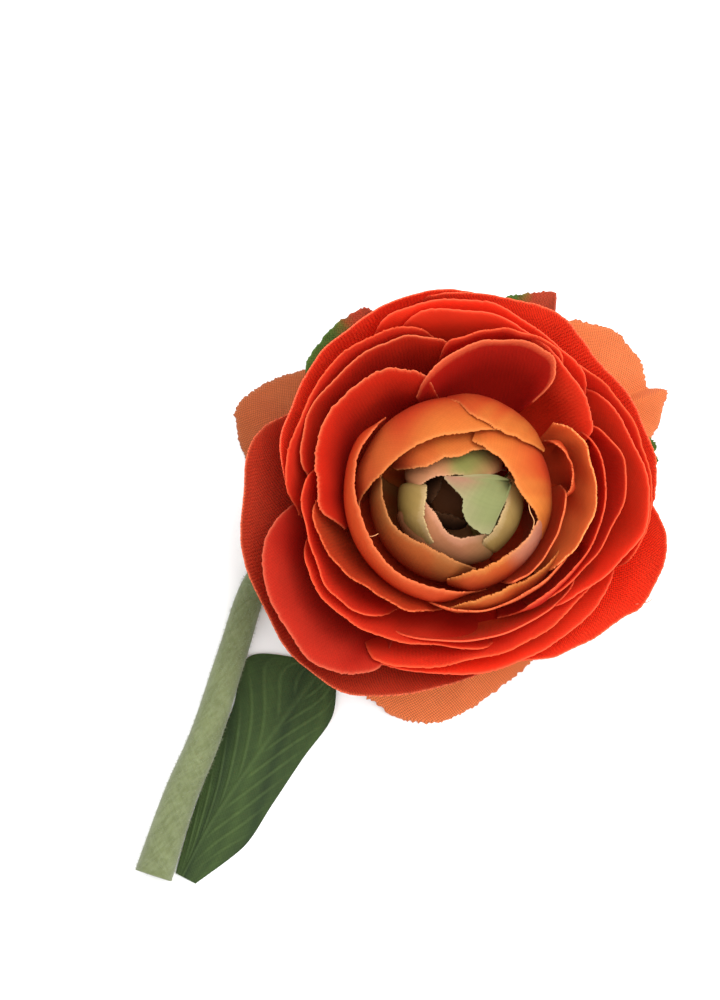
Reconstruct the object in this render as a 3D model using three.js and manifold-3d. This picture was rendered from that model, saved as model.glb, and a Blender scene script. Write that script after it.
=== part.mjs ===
// A single orange-red ranunculus, cut short and laid down. The bloom lies on its back with its
// face up, on the tips of three bent-back guard petals. Its stem bends behind the bloom and lies
// along the surface, with one leaf.
// Millimetres and degrees. X runs to the right, Y away from the viewer and Z up.
// Heights and angles inside the bloom are counted from its root, about its own axis.
import * as THREE from "three";
import { mergeVertices } from "three/addons/utils/BufferGeometryUtils.js";
import Module from "manifold-3d";

const wasm = await Module();
wasm.setup();

// Driving dimensions
const ROOT_HEIGHT = 17; // the root of the petals, above the surface that the flower lies on
const ROOT_PLACE = [8.36, 17.77]; // the root in plan, from the middle of the whole flower's box
const BLOOM_TILT = 10; // the bloom's axis leans this far towards -Y
const PETAL_THICKNESS = 0.7;
const SEPAL_THICKNESS = 0.9;
const LEAF_THICKNESS = 0.8;
const SHORTEST_EDGE = 0.01;
const SAME_POINT = 1e-4; // corners that lie closer than this are one
const ROUGHNESS = 0.8;
const SEAT_GAP = 0.3; // between pieces stacked on the flower's axis
const CALYX_DEPTH = 7.4;
const NECK_RADIUS = 2.7;

// Where each ring of petals springs from: the height of its roots and the hub that holds them
const GUARD_HUB = { bottom: SEAT_GAP, top: 2.2, radius: 7 };
const RED_HUB = { bottom: GUARD_HUB.top + SEAT_GAP, top: 7.4, radius: 8.6 };
const ORANGE_HUB = { bottom: RED_HUB.top + SEAT_GAP, top: 14.8, radius: 6.6 };
const HEART_HUB = { bottom: ORANGE_HUB.top + SEAT_GAP, top: 23, radius: 4.3 };
const GUARD_ROOT = 1.2;
const RED_ROOT = 3.6;
const ORANGE_ROOT = 11.4;
const HEART_ROOT = 18.4;
const HUB_BEVEL = 0.6;
const HUB_SIDES = 16;

// How cupped petals run from root to edge
const CUP_START = 0.12; // the share of the side that is left out at the axis
const CUP_ROOT_WIDTH = 0.6; // the share of a petal's spread that it has at its root
const CUP_OPENING = 0.7; // below 1, it gains the rest early on
const CORNER = 0.26;
const CORNER_START = 0.62; // how far from the middle of the edge its corners start
const CORNER_POWER = 1.5;
const CORNER_KEPT = 0.7; // the share of the edge's radius that a shortened corner keeps
const LIP_START = 0.75;
const LIP_FADE = 0.6;

// How guard petals and sepals run
const GUARD_ROOT_RADIUS = 4;
const GUARD_FALL = 1.6; // above 1, they droop late
const GUARD_ROOT_WIDTH = 0.28;
const GUARD_OPENING = 1.4;
const SEPAL_ROOT_WIDTH = 0.7;
const SEPAL_CURL = 1.2;

// How finely the pieces are faceted: spans across a blade, then along it
const SPAN_ANGLE = 18; // a petal has one span across for every so many degrees
const FEWEST_ACROSS = 5;
const GUARD_ALONG = 6;
const RED_ALONG = 4;
const ORANGE_ALONG = 5;
const HEART_ALONG = 5;
const TONGUE_SPANS = [9, 5];
const SEPAL_SPANS = [5, 7];
const LEAF_SPANS = [8, 12];
const CALYX_SIDES = 20;
const STEM_SIDES = 14;
const STEM_STEPS = 37;

const COLOURS = {
  stem: 0x93a06c,
  calyx: 0x587a34,
  petals_guard: 0xd8784a,
  petals_red: 0xe0341c,
  petals_orange: 0xee8a3c,
  petals_heart: 0xaab07c,
  leaf: 0x35502a,
};

// Each petal's free edge, seen along the bloom's axis: [angle, radius] from one end to the other.
// top is the height of the middle of that edge, and drop is how much lower its two ends lie.
// close is the angle that the petal's side turns through from root to edge: 90 ends upright, less
// ends flared. belly is the widest radius of a petal whose edge curls in over the heart.
// corner is the share by which the petal is shorter at its ends than in its middle.
// lip is how far the edge rolls outward. A pair of numbers belongs to the first and the last end.
const GUARD_PETALS = [
  { rim: [[126, 33], [136, 37.4], [141, 39.7], [145, 41.7], [149.5, 43.6], [154, 45.4], [157.5, 45.7],
    [163, 43.5], [168.5, 40.8], [176, 38], [184, 32]], low: -20.33, rise: 7 },
  { rim: [[8, 37], [16, 42.5], [20, 45.9], [23.7, 48], [26, 49.4], [28.5, 46.4], [30.5, 46.9],
    [35.3, 48.1], [40, 48], [45, 47.9], [50, 45.6], [55.5, 43], [60, 36]], low: -21.12, rise: 7 },
  { rim: [[232, 33], [239, 40.9], [246.5, 41.7], [253.5, 43.1], [260, 44.1], [265.6, 44.1],
    [270.7, 43.3], [276, 41.7], [285, 38.7], [292.3, 37], [298, 35.7], [305, 34], [312, 28]],
    low: -9.49, rise: 7 },
];

const RED_PETALS = [
  { rim: [[150, 33.5], [158, 36.8], [167, 37.9], [178, 38.3], [189, 39.3], [200, 40], [212, 40.2],
    [223, 41.4], [233, 40.8], [242, 39.9], [252, 37.4], [265, 34.5], [282, 32.8], [298, 31]], top: 26,
    drop: 4, close: 80, corner: [0.1, 0.2] },
  { rim: [[70, 36.8], [90, 37.4], [105, 37.1], [119.5, 36.5], [130, 35.9], [138, 35], [148, 33.8],
    [158, 33], [168, 31.6], [178, 30.3], [186, 29.6]], top: 31, drop: 5, close: 82,
    corner: [0.1, 0.2] },
  { rim: [[-14, 34.6], [-4, 36], [4, 36.9], [12, 37.3], [22, 36.6], [33, 35.9], [43, 35.5], [52, 36.4],
    [60, 37.7], [72, 37.3], [88, 37.6], [102, 37.2], [114, 35.6]], top: 30, drop: 5, close: 80,
    corner: [0.1, 0.1], lip: 0.8 },
  { rim: [[-84, 31.6], [-71.4, 32.6], [-63.4, 32.9], [-56.5, 34.3], [-49.6, 35], [-42.6, 36],
    [-34.7, 37.2], [-29.7, 38.7], [-21.8, 39.7], [-14.9, 39.9], [-9.9, 39.2], [-5, 37.4], [3, 35.8],
    [12, 34.8]], top: 27, drop: 4, close: 78, corner: [0.15, 0.2] },
  { rim: [[222, 34.6], [240, 33.1], [256, 32.4], [272, 32.1], [290, 31.9], [306, 31.7], [322, 31.6],
    [336, 32.4], [348, 33.6]], top: 29, drop: 4, close: 80, corner: [0.5, 0.3], lip: 1.2 },
  { rim: [[-66, 26], [-53, 26.5], [-42, 27.4], [-33, 29], [-24, 31], [-16, 32.6], [-8, 33.9],
    [2, 34.1], [12, 33.7], [22, 32.9], [32, 32.4], [42, 31.9], [52, 30.4]], top: 34, drop: 4,
    close: 84, lip: 1 },
  { rim: [[-30, 32.3], [-20, 33.8], [-8, 35], [4, 35.2], [16, 34.6], [28, 33.7], [40, 33.4],
    [50, 32.8], [60, 31.4]], top: 33, drop: 4, close: 84, lip: 1.2 },
  { rim: [[28, 29], [42, 31.6], [57, 33], [70, 34.1], [84, 35], [98, 35.2], [112, 34.6], [124, 33.7]],
    top: 35, drop: 4, close: 86, lip: 1.7 },
  { rim: [[18, 24.2], [24, 26.2], [30, 27.6], [39, 29.4], [52, 31], [65, 31.9], [79, 33], [92, 33.3],
    [106, 33.3], [120, 32.6]], top: 36, drop: 3, close: 86, corner: [0.12, 0.3], lip: 1.8 },
  { rim: [[88, 28], [98, 30.2], [108, 31.5], [120, 32.6], [132, 32.6], [144, 32], [156, 31.5],
    [168, 30.6], [180, 29.8], [194, 29.2]], top: 34, drop: 4, close: 86, lip: 1 },
  { rim: [[82, 25], [90, 26.8], [98, 28.6], [108, 30.6], [118, 30.9], [134, 30.4], [150, 30.4],
    [160, 28.8], [172, 27.2], [182, 25.2]], top: 33, drop: 4, close: 84, lip: 1.2 },
  { rim: [[92, 19.4], [100, 21.4], [108, 23.2], [117, 25.4], [128, 27], [143, 27.4], [158, 26.9],
    [170, 25.4], [180, 24.4], [190, 23], [198, 21.6]], top: 36, drop: 3, close: 84,
    corner: [0.3, 0.14], lip: 2.4 },
  { rim: [[112, 20.2], [106, 21.7], [97, 24], [86, 26.9], [75, 29.5], [66, 30.6], [57, 30.2],
    [52, 28.5], [50, 25.8], [50, 23]], top: 37, drop: 3, close: 84, corner: [0.12, 0.1], lip: 2.2 },
  { rim: [[100, 25], [92, 27.6], [81, 30.2], [72, 31.6], [62, 31.8], [53, 31], [44, 28.8]], top: 37,
    drop: 4, close: 88, lip: 1 },
  { rim: [[-64, 24.1], [-52, 24.5], [-40, 25.1], [-30, 26], [-20, 27.4], [-10, 28.6], [0, 29.6],
    [10, 30.2], [17, 30], [24, 28.8], [31, 27], [38, 25]], top: 35, drop: 4, close: 86, lip: 0.3 },
  { rim: [[-74, 23.4], [-62, 23], [-50, 23.1], [-39, 23.6], [-28, 24.5], [-18, 25.5], [-8, 26.2],
    [4, 26.6], [14, 26.6], [22, 26.2], [29, 25], [36, 23.4]], top: 36, drop: 3, belly: [24.2, 26.8],
    level: true },
  { rim: [[178, 29.7], [186, 32.7], [196, 35.4], [206, 37.6], [218, 38.8], [228, 39.2], [236, 37.7],
    [242, 35.4], [247, 32.2], [249, 29]], top: 32, drop: 3, close: 78, corner: [0.2, 0.2], lip: 1.8 },
  { rim: [[160, 25], [170, 26.6], [180, 27.6], [192, 27.7], [204, 27.2], [216, 27.6], [226, 27.1],
    [238, 25.3], [248, 23.8]], top: 34, drop: 3, close: 87, lip: 1 },
  { rim: [[184, 28.6], [196, 29.1], [208, 29.4], [220, 29.3], [232, 28.7], [244, 27.8], [258, 27.1],
    [272, 27.3], [286, 27.8], [300, 28]], top: 33, drop: 4, close: 84, corner: [0.3, 0.4], lip: 1.4 },
  { rim: [[228, 33], [240, 32.6], [258, 30.8], [272, 29.7], [288, 29.3], [304, 28.8], [320, 28.5],
    [334, 28.9], [346, 29.8]], top: 32, drop: 4, close: 82, corner: [0.5, 0.3], lip: 1.8 },
  { rim: [[232, 27.2], [246, 26.4], [260, 25.6], [276, 25.5], [292, 25.8], [308, 26.2], [324, 26.2],
    [338, 25.4]], top: 34, drop: 3, belly: 26.6, lip: 1.4 },
  { rim: [[172, 25.6], [184, 25.2], [198, 25], [210, 24.4], [220, 23.2], [230, 22.2], [242, 21.4],
    [254, 21.1], [268, 21.6]], top: 36, drop: 2, close: 89, lip: 0.8 },
];

const ORANGE_PETALS = [
  { rim: [[-112, 18.8], [-98, 19.3], [-85, 20], [-70, 20.7], [-56, 20.8], [-42, 21.3], [-28, 22.3],
    [-14, 22.8]], top: 36, drop: 3, belly: [19.3, 23] },
  { rim: [[-104, 19.6], [-92, 19.2], [-80, 18.6], [-68, 18.2], [-56, 18.4], [-44, 19.4], [-30, 20.7],
    [-16, 21.4]], top: 37, drop: 2, belly: [20.4, 21.6] },
  { rim: [[-46, 20.8], [-34, 21.8], [-22, 23], [-10, 23.7], [2, 24.4], [14, 24.8], [24, 24.8],
    [32, 24], [39, 22.4]], top: 37, drop: 3, close: 84, corner: [0.2, 0.12] },
  { rim: [[-2, 18.6], [7, 20.6], [16, 21.3], [25, 20.6], [34, 18.6]], top: 36, drop: 3, belly: 21.4,
    level: true },
  { rim: [[-64, 17.4], [-52, 18], [-38, 18.6], [-20, 18.8], [-4, 19.2], [10, 19.6]], top: 37.5,
    drop: 2, belly: [18, 19.8] },
  { rim: [[124, 18.4], [134, 18.6], [146, 19], [158, 19], [170, 18.6], [182, 17.8], [196, 17.2],
    [212, 16.8], [228, 16.8], [244, 16.5], [262, 16.2], [280, 16.4], [296, 17.2]], top: 38, drop: 2,
    belly: [20.8, 18.6] },
  { rim: [[191, 17.3], [182, 17.1], [173, 15.6], [164, 14], [150, 12.9], [130, 11.7], [108, 11.2],
    [88, 11.5], [70, 12.9], [54, 14.7], [40, 17], [28, 18]], top: 42, drop: 2, belly: 18.1,
    corner: 0.08 },
  { rim: [[96, 17.3], [88, 16.7], [82, 15.1], [74, 14.2], [66, 13.9], [58, 14], [52, 14.4], [44, 15.2],
    [36, 16.1], [27, 17.5]], top: 40.6, drop: 2, belly: 18.9, corner: 0.06 },
  { rim: [[156, 11.2], [146, 9.1], [130, 7.5], [108, 7.4], [88, 7.4], [74, 8.4], [60, 9.8], [46, 11]],
    top: 40.5, drop: 1, belly: 15, corner: 0.08 },
  { rim: [[76, 10.4], [57, 9.8], [36, 10.1], [16, 10.5], [1, 11.8], [-12, 14.3], [-26, 17]], top: 41.4,
    drop: 1, belly: 17.4, corner: 0.03 },
  { rim: [[156, 14], [166, 13.6], [180, 13], [194, 12.4], [210, 11.6], [226, 10.6], [240, 10],
    [258, 10.2], [274, 11.3], [288, 12.5]], top: 39, drop: 1, belly: 15.2, corner: 0.1 },
  { rim: [[262, 14], [284, 13], [304, 13.2], [320, 13.9], [338, 14.6], [358, 15.6]], top: 39, drop: 1,
    belly: 17, corner: 0.1 },
];

const HEART_PETALS = [
  { rim: [[172, 5.6], [181, 5.3], [190, 5.2], [204, 4.7], [218, 4.6], [233, 5.2], [248, 6], [262, 6.7],
    [276, 7.2], [290, 7.3], [305, 7.9], [318, 9], [330, 10.2]], top: 37, drop: 1, belly: [10.4, 12.8] },
  { rim: [[148, 6.4], [156, 5.6], [168, 5.4], [182, 5.4], [196, 5.8], [207, 6.3], [218, 7], [227, 7.7],
    [238, 8.4], [248, 9], [260, 9.8]], top: 37.8, drop: 1, belly: [9.9, 10.9] },
  { rim: [[178, 8.4], [170, 7.3], [158, 6.5], [148, 6], [136, 5.2], [124, 4.7], [106, 4.2], [88, 4.1],
    [66, 4], [48, 4.8], [36, 6.6], [29, 8.8], [22, 10]], top: 38.8, drop: 1, belly: [9.8, 11.4] },
  { rim: [[-72, 9.4], [-58, 9], [-44, 8.8], [-26, 8.4], [-8, 8.4], [8, 8.8], [20, 9.4], [30, 10.2]],
    top: 37, drop: 1, belly: 12.2 },
  { rim: [[96, 5.4], [120, 4.2], [146, 3.4], [174, 3.6], [202, 4.6]], top: 33.5, drop: 1, belly: 6 },
  { rim: [[196, 5], [222, 3.8], [250, 3.2], [280, 3.6], [306, 5]], top: 32.5, drop: 1, belly: 5.6 },
];

// The last petal of the heart folds over its hole like a tongue. Its free edge is counted about
// its own root, and its surface is a shallow dome over the heart.
const TONGUE = {
  root: [9.8, 3],
  rim: [[160, 2.6], [167, 5], [173, 8], [175.5, 10.4], [176.5, 12.1], [181, 11.6], [186, 10.8],
    [192, 10], [198.5, 9.5], [204, 9.6], [209.5, 10.1], [217, 10.5], [224, 10.7], [235, 10.7],
    [242, 10.4], [246.5, 9.8], [247, 7.4], [248, 5], [252, 2.6]],
  domeTop: 40.2,
  domeCentre: [1.6, -1.4],
  domeFall: 0.04,
  rootDip: 3,
  rootShare: 0.3,
};

// Sepals spread behind the bloom, each with its edge seen along the axis like a petal's
const SEPALS = [
  { rim: [[8, 37], [9.6, 39.2], [10.8, 39.7], [12.6, 39.2], [14.1, 39.8], [15.9, 39.6], [17.4, 38.7],
    [19, 36]] },
  { rim: [[78, 36], [76, 38], [74.5, 39.3], [73, 40], [70.7, 40.8], [68.7, 41.6], [65.9, 42.6],
    [63.2, 43.5], [61.5, 41.2], [59.8, 38.6], [58.5, 36]] },
  { rim: [[141, 34.8], [137.8, 36.9], [133.5, 37.8], [128.8, 38.6], [123.5, 39.4], [118.7, 39.5],
    [114.5, 39.4], [112.8, 38.2], [112, 35.5]] },
  { rim: [[188, 30], [192, 33.4], [198, 35.4], [205, 36], [212, 35.4], [218, 33.2], [222, 30]] },
  { rim: [[300, 29], [304, 32], [311, 34], [318, 34.6], [325, 34], [331, 32], [334, 29]] },
];
// Along a sepal: [share of its length, height]
const SEPAL_SIDE = [[0.12, -3.4], [0.3, -3.8], [0.5, -2.2], [0.75, 3], [1, 9]];

// The calyx cup's outline, [radius, height], from the neck up to its rim
const CALYX_OUTLINE = [
  [0, -CALYX_DEPTH],
  [NECK_RADIUS, -CALYX_DEPTH],
  [3.9, -5.4],
  [5.9, -3.2],
  [6.5, -1],
  [5.9, 0],
  [0, 0],
];

// The stem on the surface, in plan from the root of the petals: [x, y, height, radius]
const STEM_ROUTE = [
  [-1.6, 2.6, 5.8, 2.7],
  [-8.6, 1.6, 3, 2.7],
  [-18, -1.6, 2.75, 2.7],
  [-29.5, -6.6, 2.75, 2.7],
  [-37.4, -14.4, 2.8, 2.8],
  [-42.1, -28.4, 3, 3],
  [-47.1, -44.4, 3.2, 3.2],
  [-52, -56.4, 3.4, 3.4],
  [-56.9, -71.5, 3.8, 3.8],
];

// The leaf's midrib from the stem to its tip, [x, y, height], with the width on either side
const LEAF_RIB = [
  [-51.6, -71.6, 0.8],
  [-46.5, -62, 1.6],
  [-40.5, -53.1, 2.1],
  [-34.3, -44.3, 2.1],
  [-28.5, -36.5, 1.6],
  [-24.5, -31.2, 1],
];
const LEAF_LEFT = [1.4, 3.8, 6.7, 9.5, 12.9, 2.5];
const LEAF_RIGHT = [3, 7.8, 7.8, 7.5, 7.3, 3.5];
const LEAF_DROOP = 1.5; // its sides hang this much below its midrib
const LEAF_STEP = 0.02; // the share of its length over which the midrib's direction is taken

const radians = THREE.MathUtils.degToRad;

// A spline through two or more numbers at every point
function spline(points, share) {
  const last = points.length - 1;
  const place = Math.min(share, 1) * last;
  const index = Math.min(Math.floor(place), last - 1);
  const t = place - index;
  const before = points[Math.max(index - 1, 0)];
  const from = points[index];
  const to = points[index + 1];
  const after = points[Math.min(index + 2, last)];
  return from.map((value, k) => {
    const leave = (to[k] - before[k]) / 2;
    const arrive = (after[k] - value) / 2;
    const cubic = 2 * value - 2 * to[k] + leave + arrive;
    const square = -3 * value + 3 * to[k] - 2 * leave - arrive;
    return ((cubic * t + square) * t + leave) * t + value;
  });
}

function grid(across, along, pointAt) {
  const rows = [];
  for (let j = 0; j <= along; j++) {
    const row = [];
    for (let i = 0; i <= across; i++) row.push(pointAt((2 * i) / across - 1, j / along));
    rows.push(row);
  }
  return rows;
}

function normalAt(rows, j, i) {
  const up = rows[Math.min(j + 1, rows.length - 1)][i];
  const down = rows[Math.max(j - 1, 0)][i];
  const right = rows[j][Math.min(i + 1, rows[j].length - 1)];
  const left = rows[j][Math.max(i - 1, 0)];
  const along = new THREE.Vector3().subVectors(up, down);
  const across = new THREE.Vector3().subVectors(right, left);
  return across.cross(along).normalize();
}

// Six times the volume inside a triangle mesh: negative where its faces point inwards
function signedVolume(points, faces) {
  let sum = 0;
  for (const [a, b, c] of faces) {
    sum += points[a].dot(new THREE.Vector3().crossVectors(points[b], points[c]));
  }
  return sum;
}

function closedGeometry(points, faces) {
  const turned = signedVolume(points, faces) < 0;
  const ordered = turned ? faces.map(([a, b, c]) => [a, c, b]) : faces;
  const geometry = new THREE.BufferGeometry().setFromPoints(points);
  geometry.setIndex(ordered.flat());
  return geometry;
}

// A sheet of even thickness about a grid of points, with both faces split alike
function sheet(rows, thickness) {
  const across = rows[0].length;
  const points = [];
  for (const side of [0.5, -0.5]) {
    rows.forEach((row, j) => {
      row.forEach((point, i) => {
        points.push(point.clone().addScaledVector(normalAt(rows, j, i), side * thickness));
      });
    });
  }
  const count = rows.length * across;
  const faces = [];
  for (let j = 0; j + 1 < rows.length; j++) {
    for (let i = 0; i + 1 < across; i++) {
      const a = j * across + i;
      const b = a + 1;
      const c = a + across;
      const d = c + 1;
      faces.push([a, b, d], [a, d, c]);
      faces.push([count + a, count + d, count + b], [count + a, count + c, count + d]);
    }
  }
  const edge = [];
  for (let i = 0; i < across; i++) edge.push(i);
  for (let j = 1; j < rows.length; j++) edge.push(j * across + across - 1);
  for (let i = across - 2; i >= 0; i--) edge.push((rows.length - 1) * across + i);
  for (let j = rows.length - 2; j > 0; j--) edge.push(j * across);
  edge.forEach((from, k) => {
    const to = edge[(k + 1) % edge.length];
    faces.push([from, count + from, count + to], [from, count + to, to]);
  });
  return closedGeometry(points, faces);
}

function toSolid(source) {
  let geometry = source.clone();
  geometry.deleteAttribute("normal");
  geometry.deleteAttribute("uv");
  geometry = mergeVertices(geometry, SAME_POINT);
  return new wasm.Manifold(
    new wasm.Mesh({
      numProp: 3,
      vertProperties: new Float32Array(geometry.attributes.position.array),
      triVerts: new Uint32Array(geometry.index.array),
    }),
  );
}

// Draws together the corners of edges that are too short to make, and drops what that flattens
function withoutShortEdges(points, triangles) {
  const leader = points.map((_, index) => index);
  const leadOf = (index) => {
    let lead = index;
    while (leader[lead] !== lead) lead = leader[lead];
    return lead;
  };
  for (const triangle of triangles) {
    triangle.forEach((from, k) => {
      const to = triangle[(k + 1) % 3];
      if (points[from].distanceTo(points[to]) < SHORTEST_EDGE) leader[leadOf(from)] = leadOf(to);
    });
  }
  const kept = new Map();
  for (const triangle of triangles) {
    const corners = triangle.map(leadOf);
    if (new Set(corners).size < 3) continue;
    const key = [...corners].sort((a, b) => a - b).join(" ");
    if (kept.has(key)) kept.delete(key);
    else kept.set(key, corners);
  }
  return [...kept.values()];
}

function toGeometry(solid) {
  const mesh = solid.getMesh();
  const points = [];
  for (let k = 0; k < mesh.vertProperties.length; k += 3) {
    points.push(new THREE.Vector3().fromArray(mesh.vertProperties, k));
  }
  const triangles = [];
  for (let k = 0; k < mesh.triVerts.length; k += 3) triangles.push([...mesh.triVerts.slice(k, k + 3)]);
  const geometry = new THREE.BufferGeometry().setFromPoints(points);
  geometry.setIndex(withoutShortEdges(points, triangles).flat());
  const tidy = mergeVertices(geometry, SAME_POINT);
  tidy.computeVertexNormals();
  return tidy;
}

// One body: pockets that the petals close off between them are filled, and loose scraps dropped
function fuse(geometries) {
  const whole = geometries.map(toSolid).reduce((sum, piece) => sum.add(piece));
  const shells = whole.decompose();
  const largest = shells.reduce((best, shell) => (shell.volume() > best.volume() ? shell : best));
  return toGeometry(largest);
}

function hub({ bottom, top, radius }) {
  const outline = [
    [0, bottom],
    [radius - HUB_BEVEL, bottom],
    [radius, bottom + HUB_BEVEL],
    [radius, top - HUB_BEVEL],
    [radius - HUB_BEVEL, top],
    [0, top],
  ];
  return turned(outline, HUB_SIDES);
}

// How far a petal has opened sideways at a share of its length, from a narrower root
function opened(share, rootWidth, power) {
  return rootWidth + (1 - rootWidth) * share ** power;
}

// The angle and radius of the free edge, and the middle angle, where u runs from -1 to 1
function edgeAt(rim, u) {
  const [angle, radius] = spline(rim, (u + 1) / 2);
  const middle = (rim[0][0] + rim[rim.length - 1][0]) / 2;
  return { angle, radius, middle };
}

function polarPoint(angle, radius, height) {
  return new THREE.Vector3(radius * Math.cos(radians(angle)), radius * Math.sin(radians(angle)), height);
}

// A row's number as it is, or a pair of them blended evenly from the first end to the last
function byEnd(value, u) {
  if (!Array.isArray(value)) return value;
  const [first, last] = value;
  return first + ((last - first) * (u + 1)) / 2;
}

// A cupped petal: its side follows an ellipse from the root at the axis out to the free edge. A
// level edge keeps one height, and any other rises where it closes in further, as on a ball.
function cuppedPetal({ rim, top, drop, close, belly, level, corner = CORNER, lip = 0 }, root) {
  const closingAt = (radius, u) =>
    belly ? Math.PI - Math.asin(Math.min(radius / byEnd(belly, u), 1)) : radians(close);
  const middleClosing = closingAt(edgeAt(rim, 0).radius, 0);
  return (u, share) => {
    const { angle, radius, middle } = edgeAt(rim, u);
    const closing = closingAt(radius, u);
    const towardsEnd = THREE.MathUtils.smoothstep(Math.abs(u), CORNER_START, 1) ** CORNER_POWER;
    const stop = 1 - byEnd(corner, u) * towardsEnd;
    const v = (CUP_START + (1 - CUP_START) * share) * stop;
    const kept = 1 + CORNER_KEPT * (Math.sin(closing) / Math.sin(closing * stop) - 1);
    const rolled = lip * (1 - LIP_FADE * u ** 4);
    const roll = rolled * Math.max(0, (v - LIP_START) / (1 - LIP_START)) ** 2;
    const across = ((radius * kept - rolled) * Math.sin(closing * v)) / Math.sin(closing) + roll;
    const high = top - drop * Math.abs(u) ** 3 - root;
    const edgeClosing = level ? closing : middleClosing;
    const up = (high * (1 - Math.cos(closing * v))) / (1 - Math.cos(edgeClosing)) - roll / 2;
    const aside = (angle - middle) * opened(v, CUP_ROOT_WIDTH, CUP_OPENING);
    return polarPoint(middle + aside, across, root + up);
  };
}

// A guard petal bends back below the bloom, down to the surface at the middle of its edge
function guardPetal({ rim, low, rise }) {
  return (u, v) => {
    const { angle, radius, middle } = edgeAt(rim, u);
    const foot = low + rise * u * u;
    const height = GUARD_ROOT + (foot - GUARD_ROOT) * v ** GUARD_FALL;
    const across = GUARD_ROOT_RADIUS + (radius - GUARD_ROOT_RADIUS) * v;
    const aside = (angle - middle) * opened(v, GUARD_ROOT_WIDTH, GUARD_OPENING);
    return polarPoint(middle + aside, across, height);
  };
}

function tonguePetal({ root, rim, domeTop, domeCentre, domeFall, rootDip, rootShare }) {
  return (u, v) => {
    const { angle, radius } = edgeAt(rim, u);
    const point = polarPoint(angle, radius * v, 0);
    point.x += root[0];
    point.y += root[1];
    const away = (point.x - domeCentre[0]) ** 2 + (point.y - domeCentre[1]) ** 2;
    const dip = rootDip * Math.max(0, 1 - v / rootShare) ** 2;
    point.z = domeTop - domeFall * away - dip;
    return point;
  };
}

function sepal({ rim }) {
  return (u, v) => {
    const { angle, radius, middle } = edgeAt(rim, u);
    const [share, height] = spline(SEPAL_SIDE, v);
    const curl = SEPAL_CURL * u * u * v;
    const aside = (angle - middle) * opened(v, SEPAL_ROOT_WIDTH, 1);
    return polarPoint(middle + aside, radius * share, height + curl);
  };
}

function turned(outline, sides) {
  const geometry = new THREE.LatheGeometry(outline.map(([r, z]) => new THREE.Vector2(r, z)), sides);
  return geometry.rotateX(Math.PI / 2);
}

// As many spans across a petal as its width calls for
function petalSheet(row, along, pointAt) {
  const { rim } = row;
  const spread = Math.abs(rim[rim.length - 1][0] - rim[0][0]);
  const across = Math.max(FEWEST_ACROSS, Math.round(spread / SPAN_ANGLE));
  return sheet(grid(across, along, pointAt), PETAL_THICKNESS);
}

function petalRing(rows, root, hubShape, along) {
  return [hub(hubShape), ...rows.map((row) => petalSheet(row, along, cuppedPetal(row, root)))];
}

function guardGeometry() {
  return fuse([hub(GUARD_HUB), ...GUARD_PETALS.map((row) => petalSheet(row, GUARD_ALONG, guardPetal(row)))]);
}

function heartGeometry() {
  const tongue = sheet(grid(...TONGUE_SPANS, tonguePetal(TONGUE)), PETAL_THICKNESS);
  return fuse([...petalRing(HEART_PETALS, HEART_ROOT, HEART_HUB, HEART_ALONG), tongue]);
}

function calyxGeometry() {
  const sepals = SEPALS.map((row) => sheet(grid(...SEPAL_SPANS, sepal(row)), SEPAL_THICKNESS));
  return fuse([turned(CALYX_OUTLINE, CALYX_SIDES), ...sepals]);
}

// The neck leaves the calyx along the bloom's axis, then follows the stem's route
function stemPoints() {
  const tilt = radians(BLOOM_TILT);
  const neckTop = CALYX_DEPTH + SEAT_GAP;
  const start = [0, neckTop * Math.sin(tilt), ROOT_HEIGHT - neckTop * Math.cos(tilt), NECK_RADIUS];
  return [start, ...STEM_ROUTE];
}

function stemGeometry() {
  const sides = STEM_SIDES;
  const steps = STEM_STEPS;
  const points = stemPoints();
  const centres = [];
  const radii = [];
  for (let j = 0; j <= steps; j++) {
    const [x, y, z, radius] = spline(points, j / steps);
    centres.push(new THREE.Vector3(x, y, z));
    radii.push(radius);
  }
  const vertices = [];
  let side = new THREE.Vector3(1, 0, 0);
  const firstAlong = new THREE.Vector3(0, Math.sin(radians(BLOOM_TILT)), -Math.cos(radians(BLOOM_TILT)));
  centres.forEach((centre, j) => {
    const ahead = centres[Math.min(j + 1, steps)];
    const behind = centres[Math.max(j - 1, 0)];
    const along = j === 0 ? firstAlong : new THREE.Vector3().subVectors(ahead, behind).normalize();
    side = side.clone().addScaledVector(along, -side.dot(along)).normalize();
    const other = new THREE.Vector3().crossVectors(along, side);
    for (let k = 0; k < sides; k++) {
      const turn = (2 * Math.PI * k) / sides;
      const point = centre.clone();
      point.addScaledVector(side, radii[j] * Math.cos(turn));
      point.addScaledVector(other, radii[j] * Math.sin(turn));
      vertices.push(point);
    }
  });
  const faces = [];
  for (let j = 0; j < steps; j++) {
    for (let k = 0; k < sides; k++) {
      const a = j * sides + k;
      const b = j * sides + ((k + 1) % sides);
      faces.push([a, b, b + sides], [a, b + sides, a + sides]);
    }
  }
  for (const [middle, ring, flip] of [[centres[0], 0, true], [centres[steps], steps * sides, false]]) {
    const index = vertices.push(middle.clone()) - 1;
    for (let k = 0; k < sides; k++) {
      const a = ring + k;
      const b = ring + ((k + 1) % sides);
      faces.push(flip ? [index, b, a] : [index, a, b]);
    }
  }
  return closedGeometry(vertices, faces);
}

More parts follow.
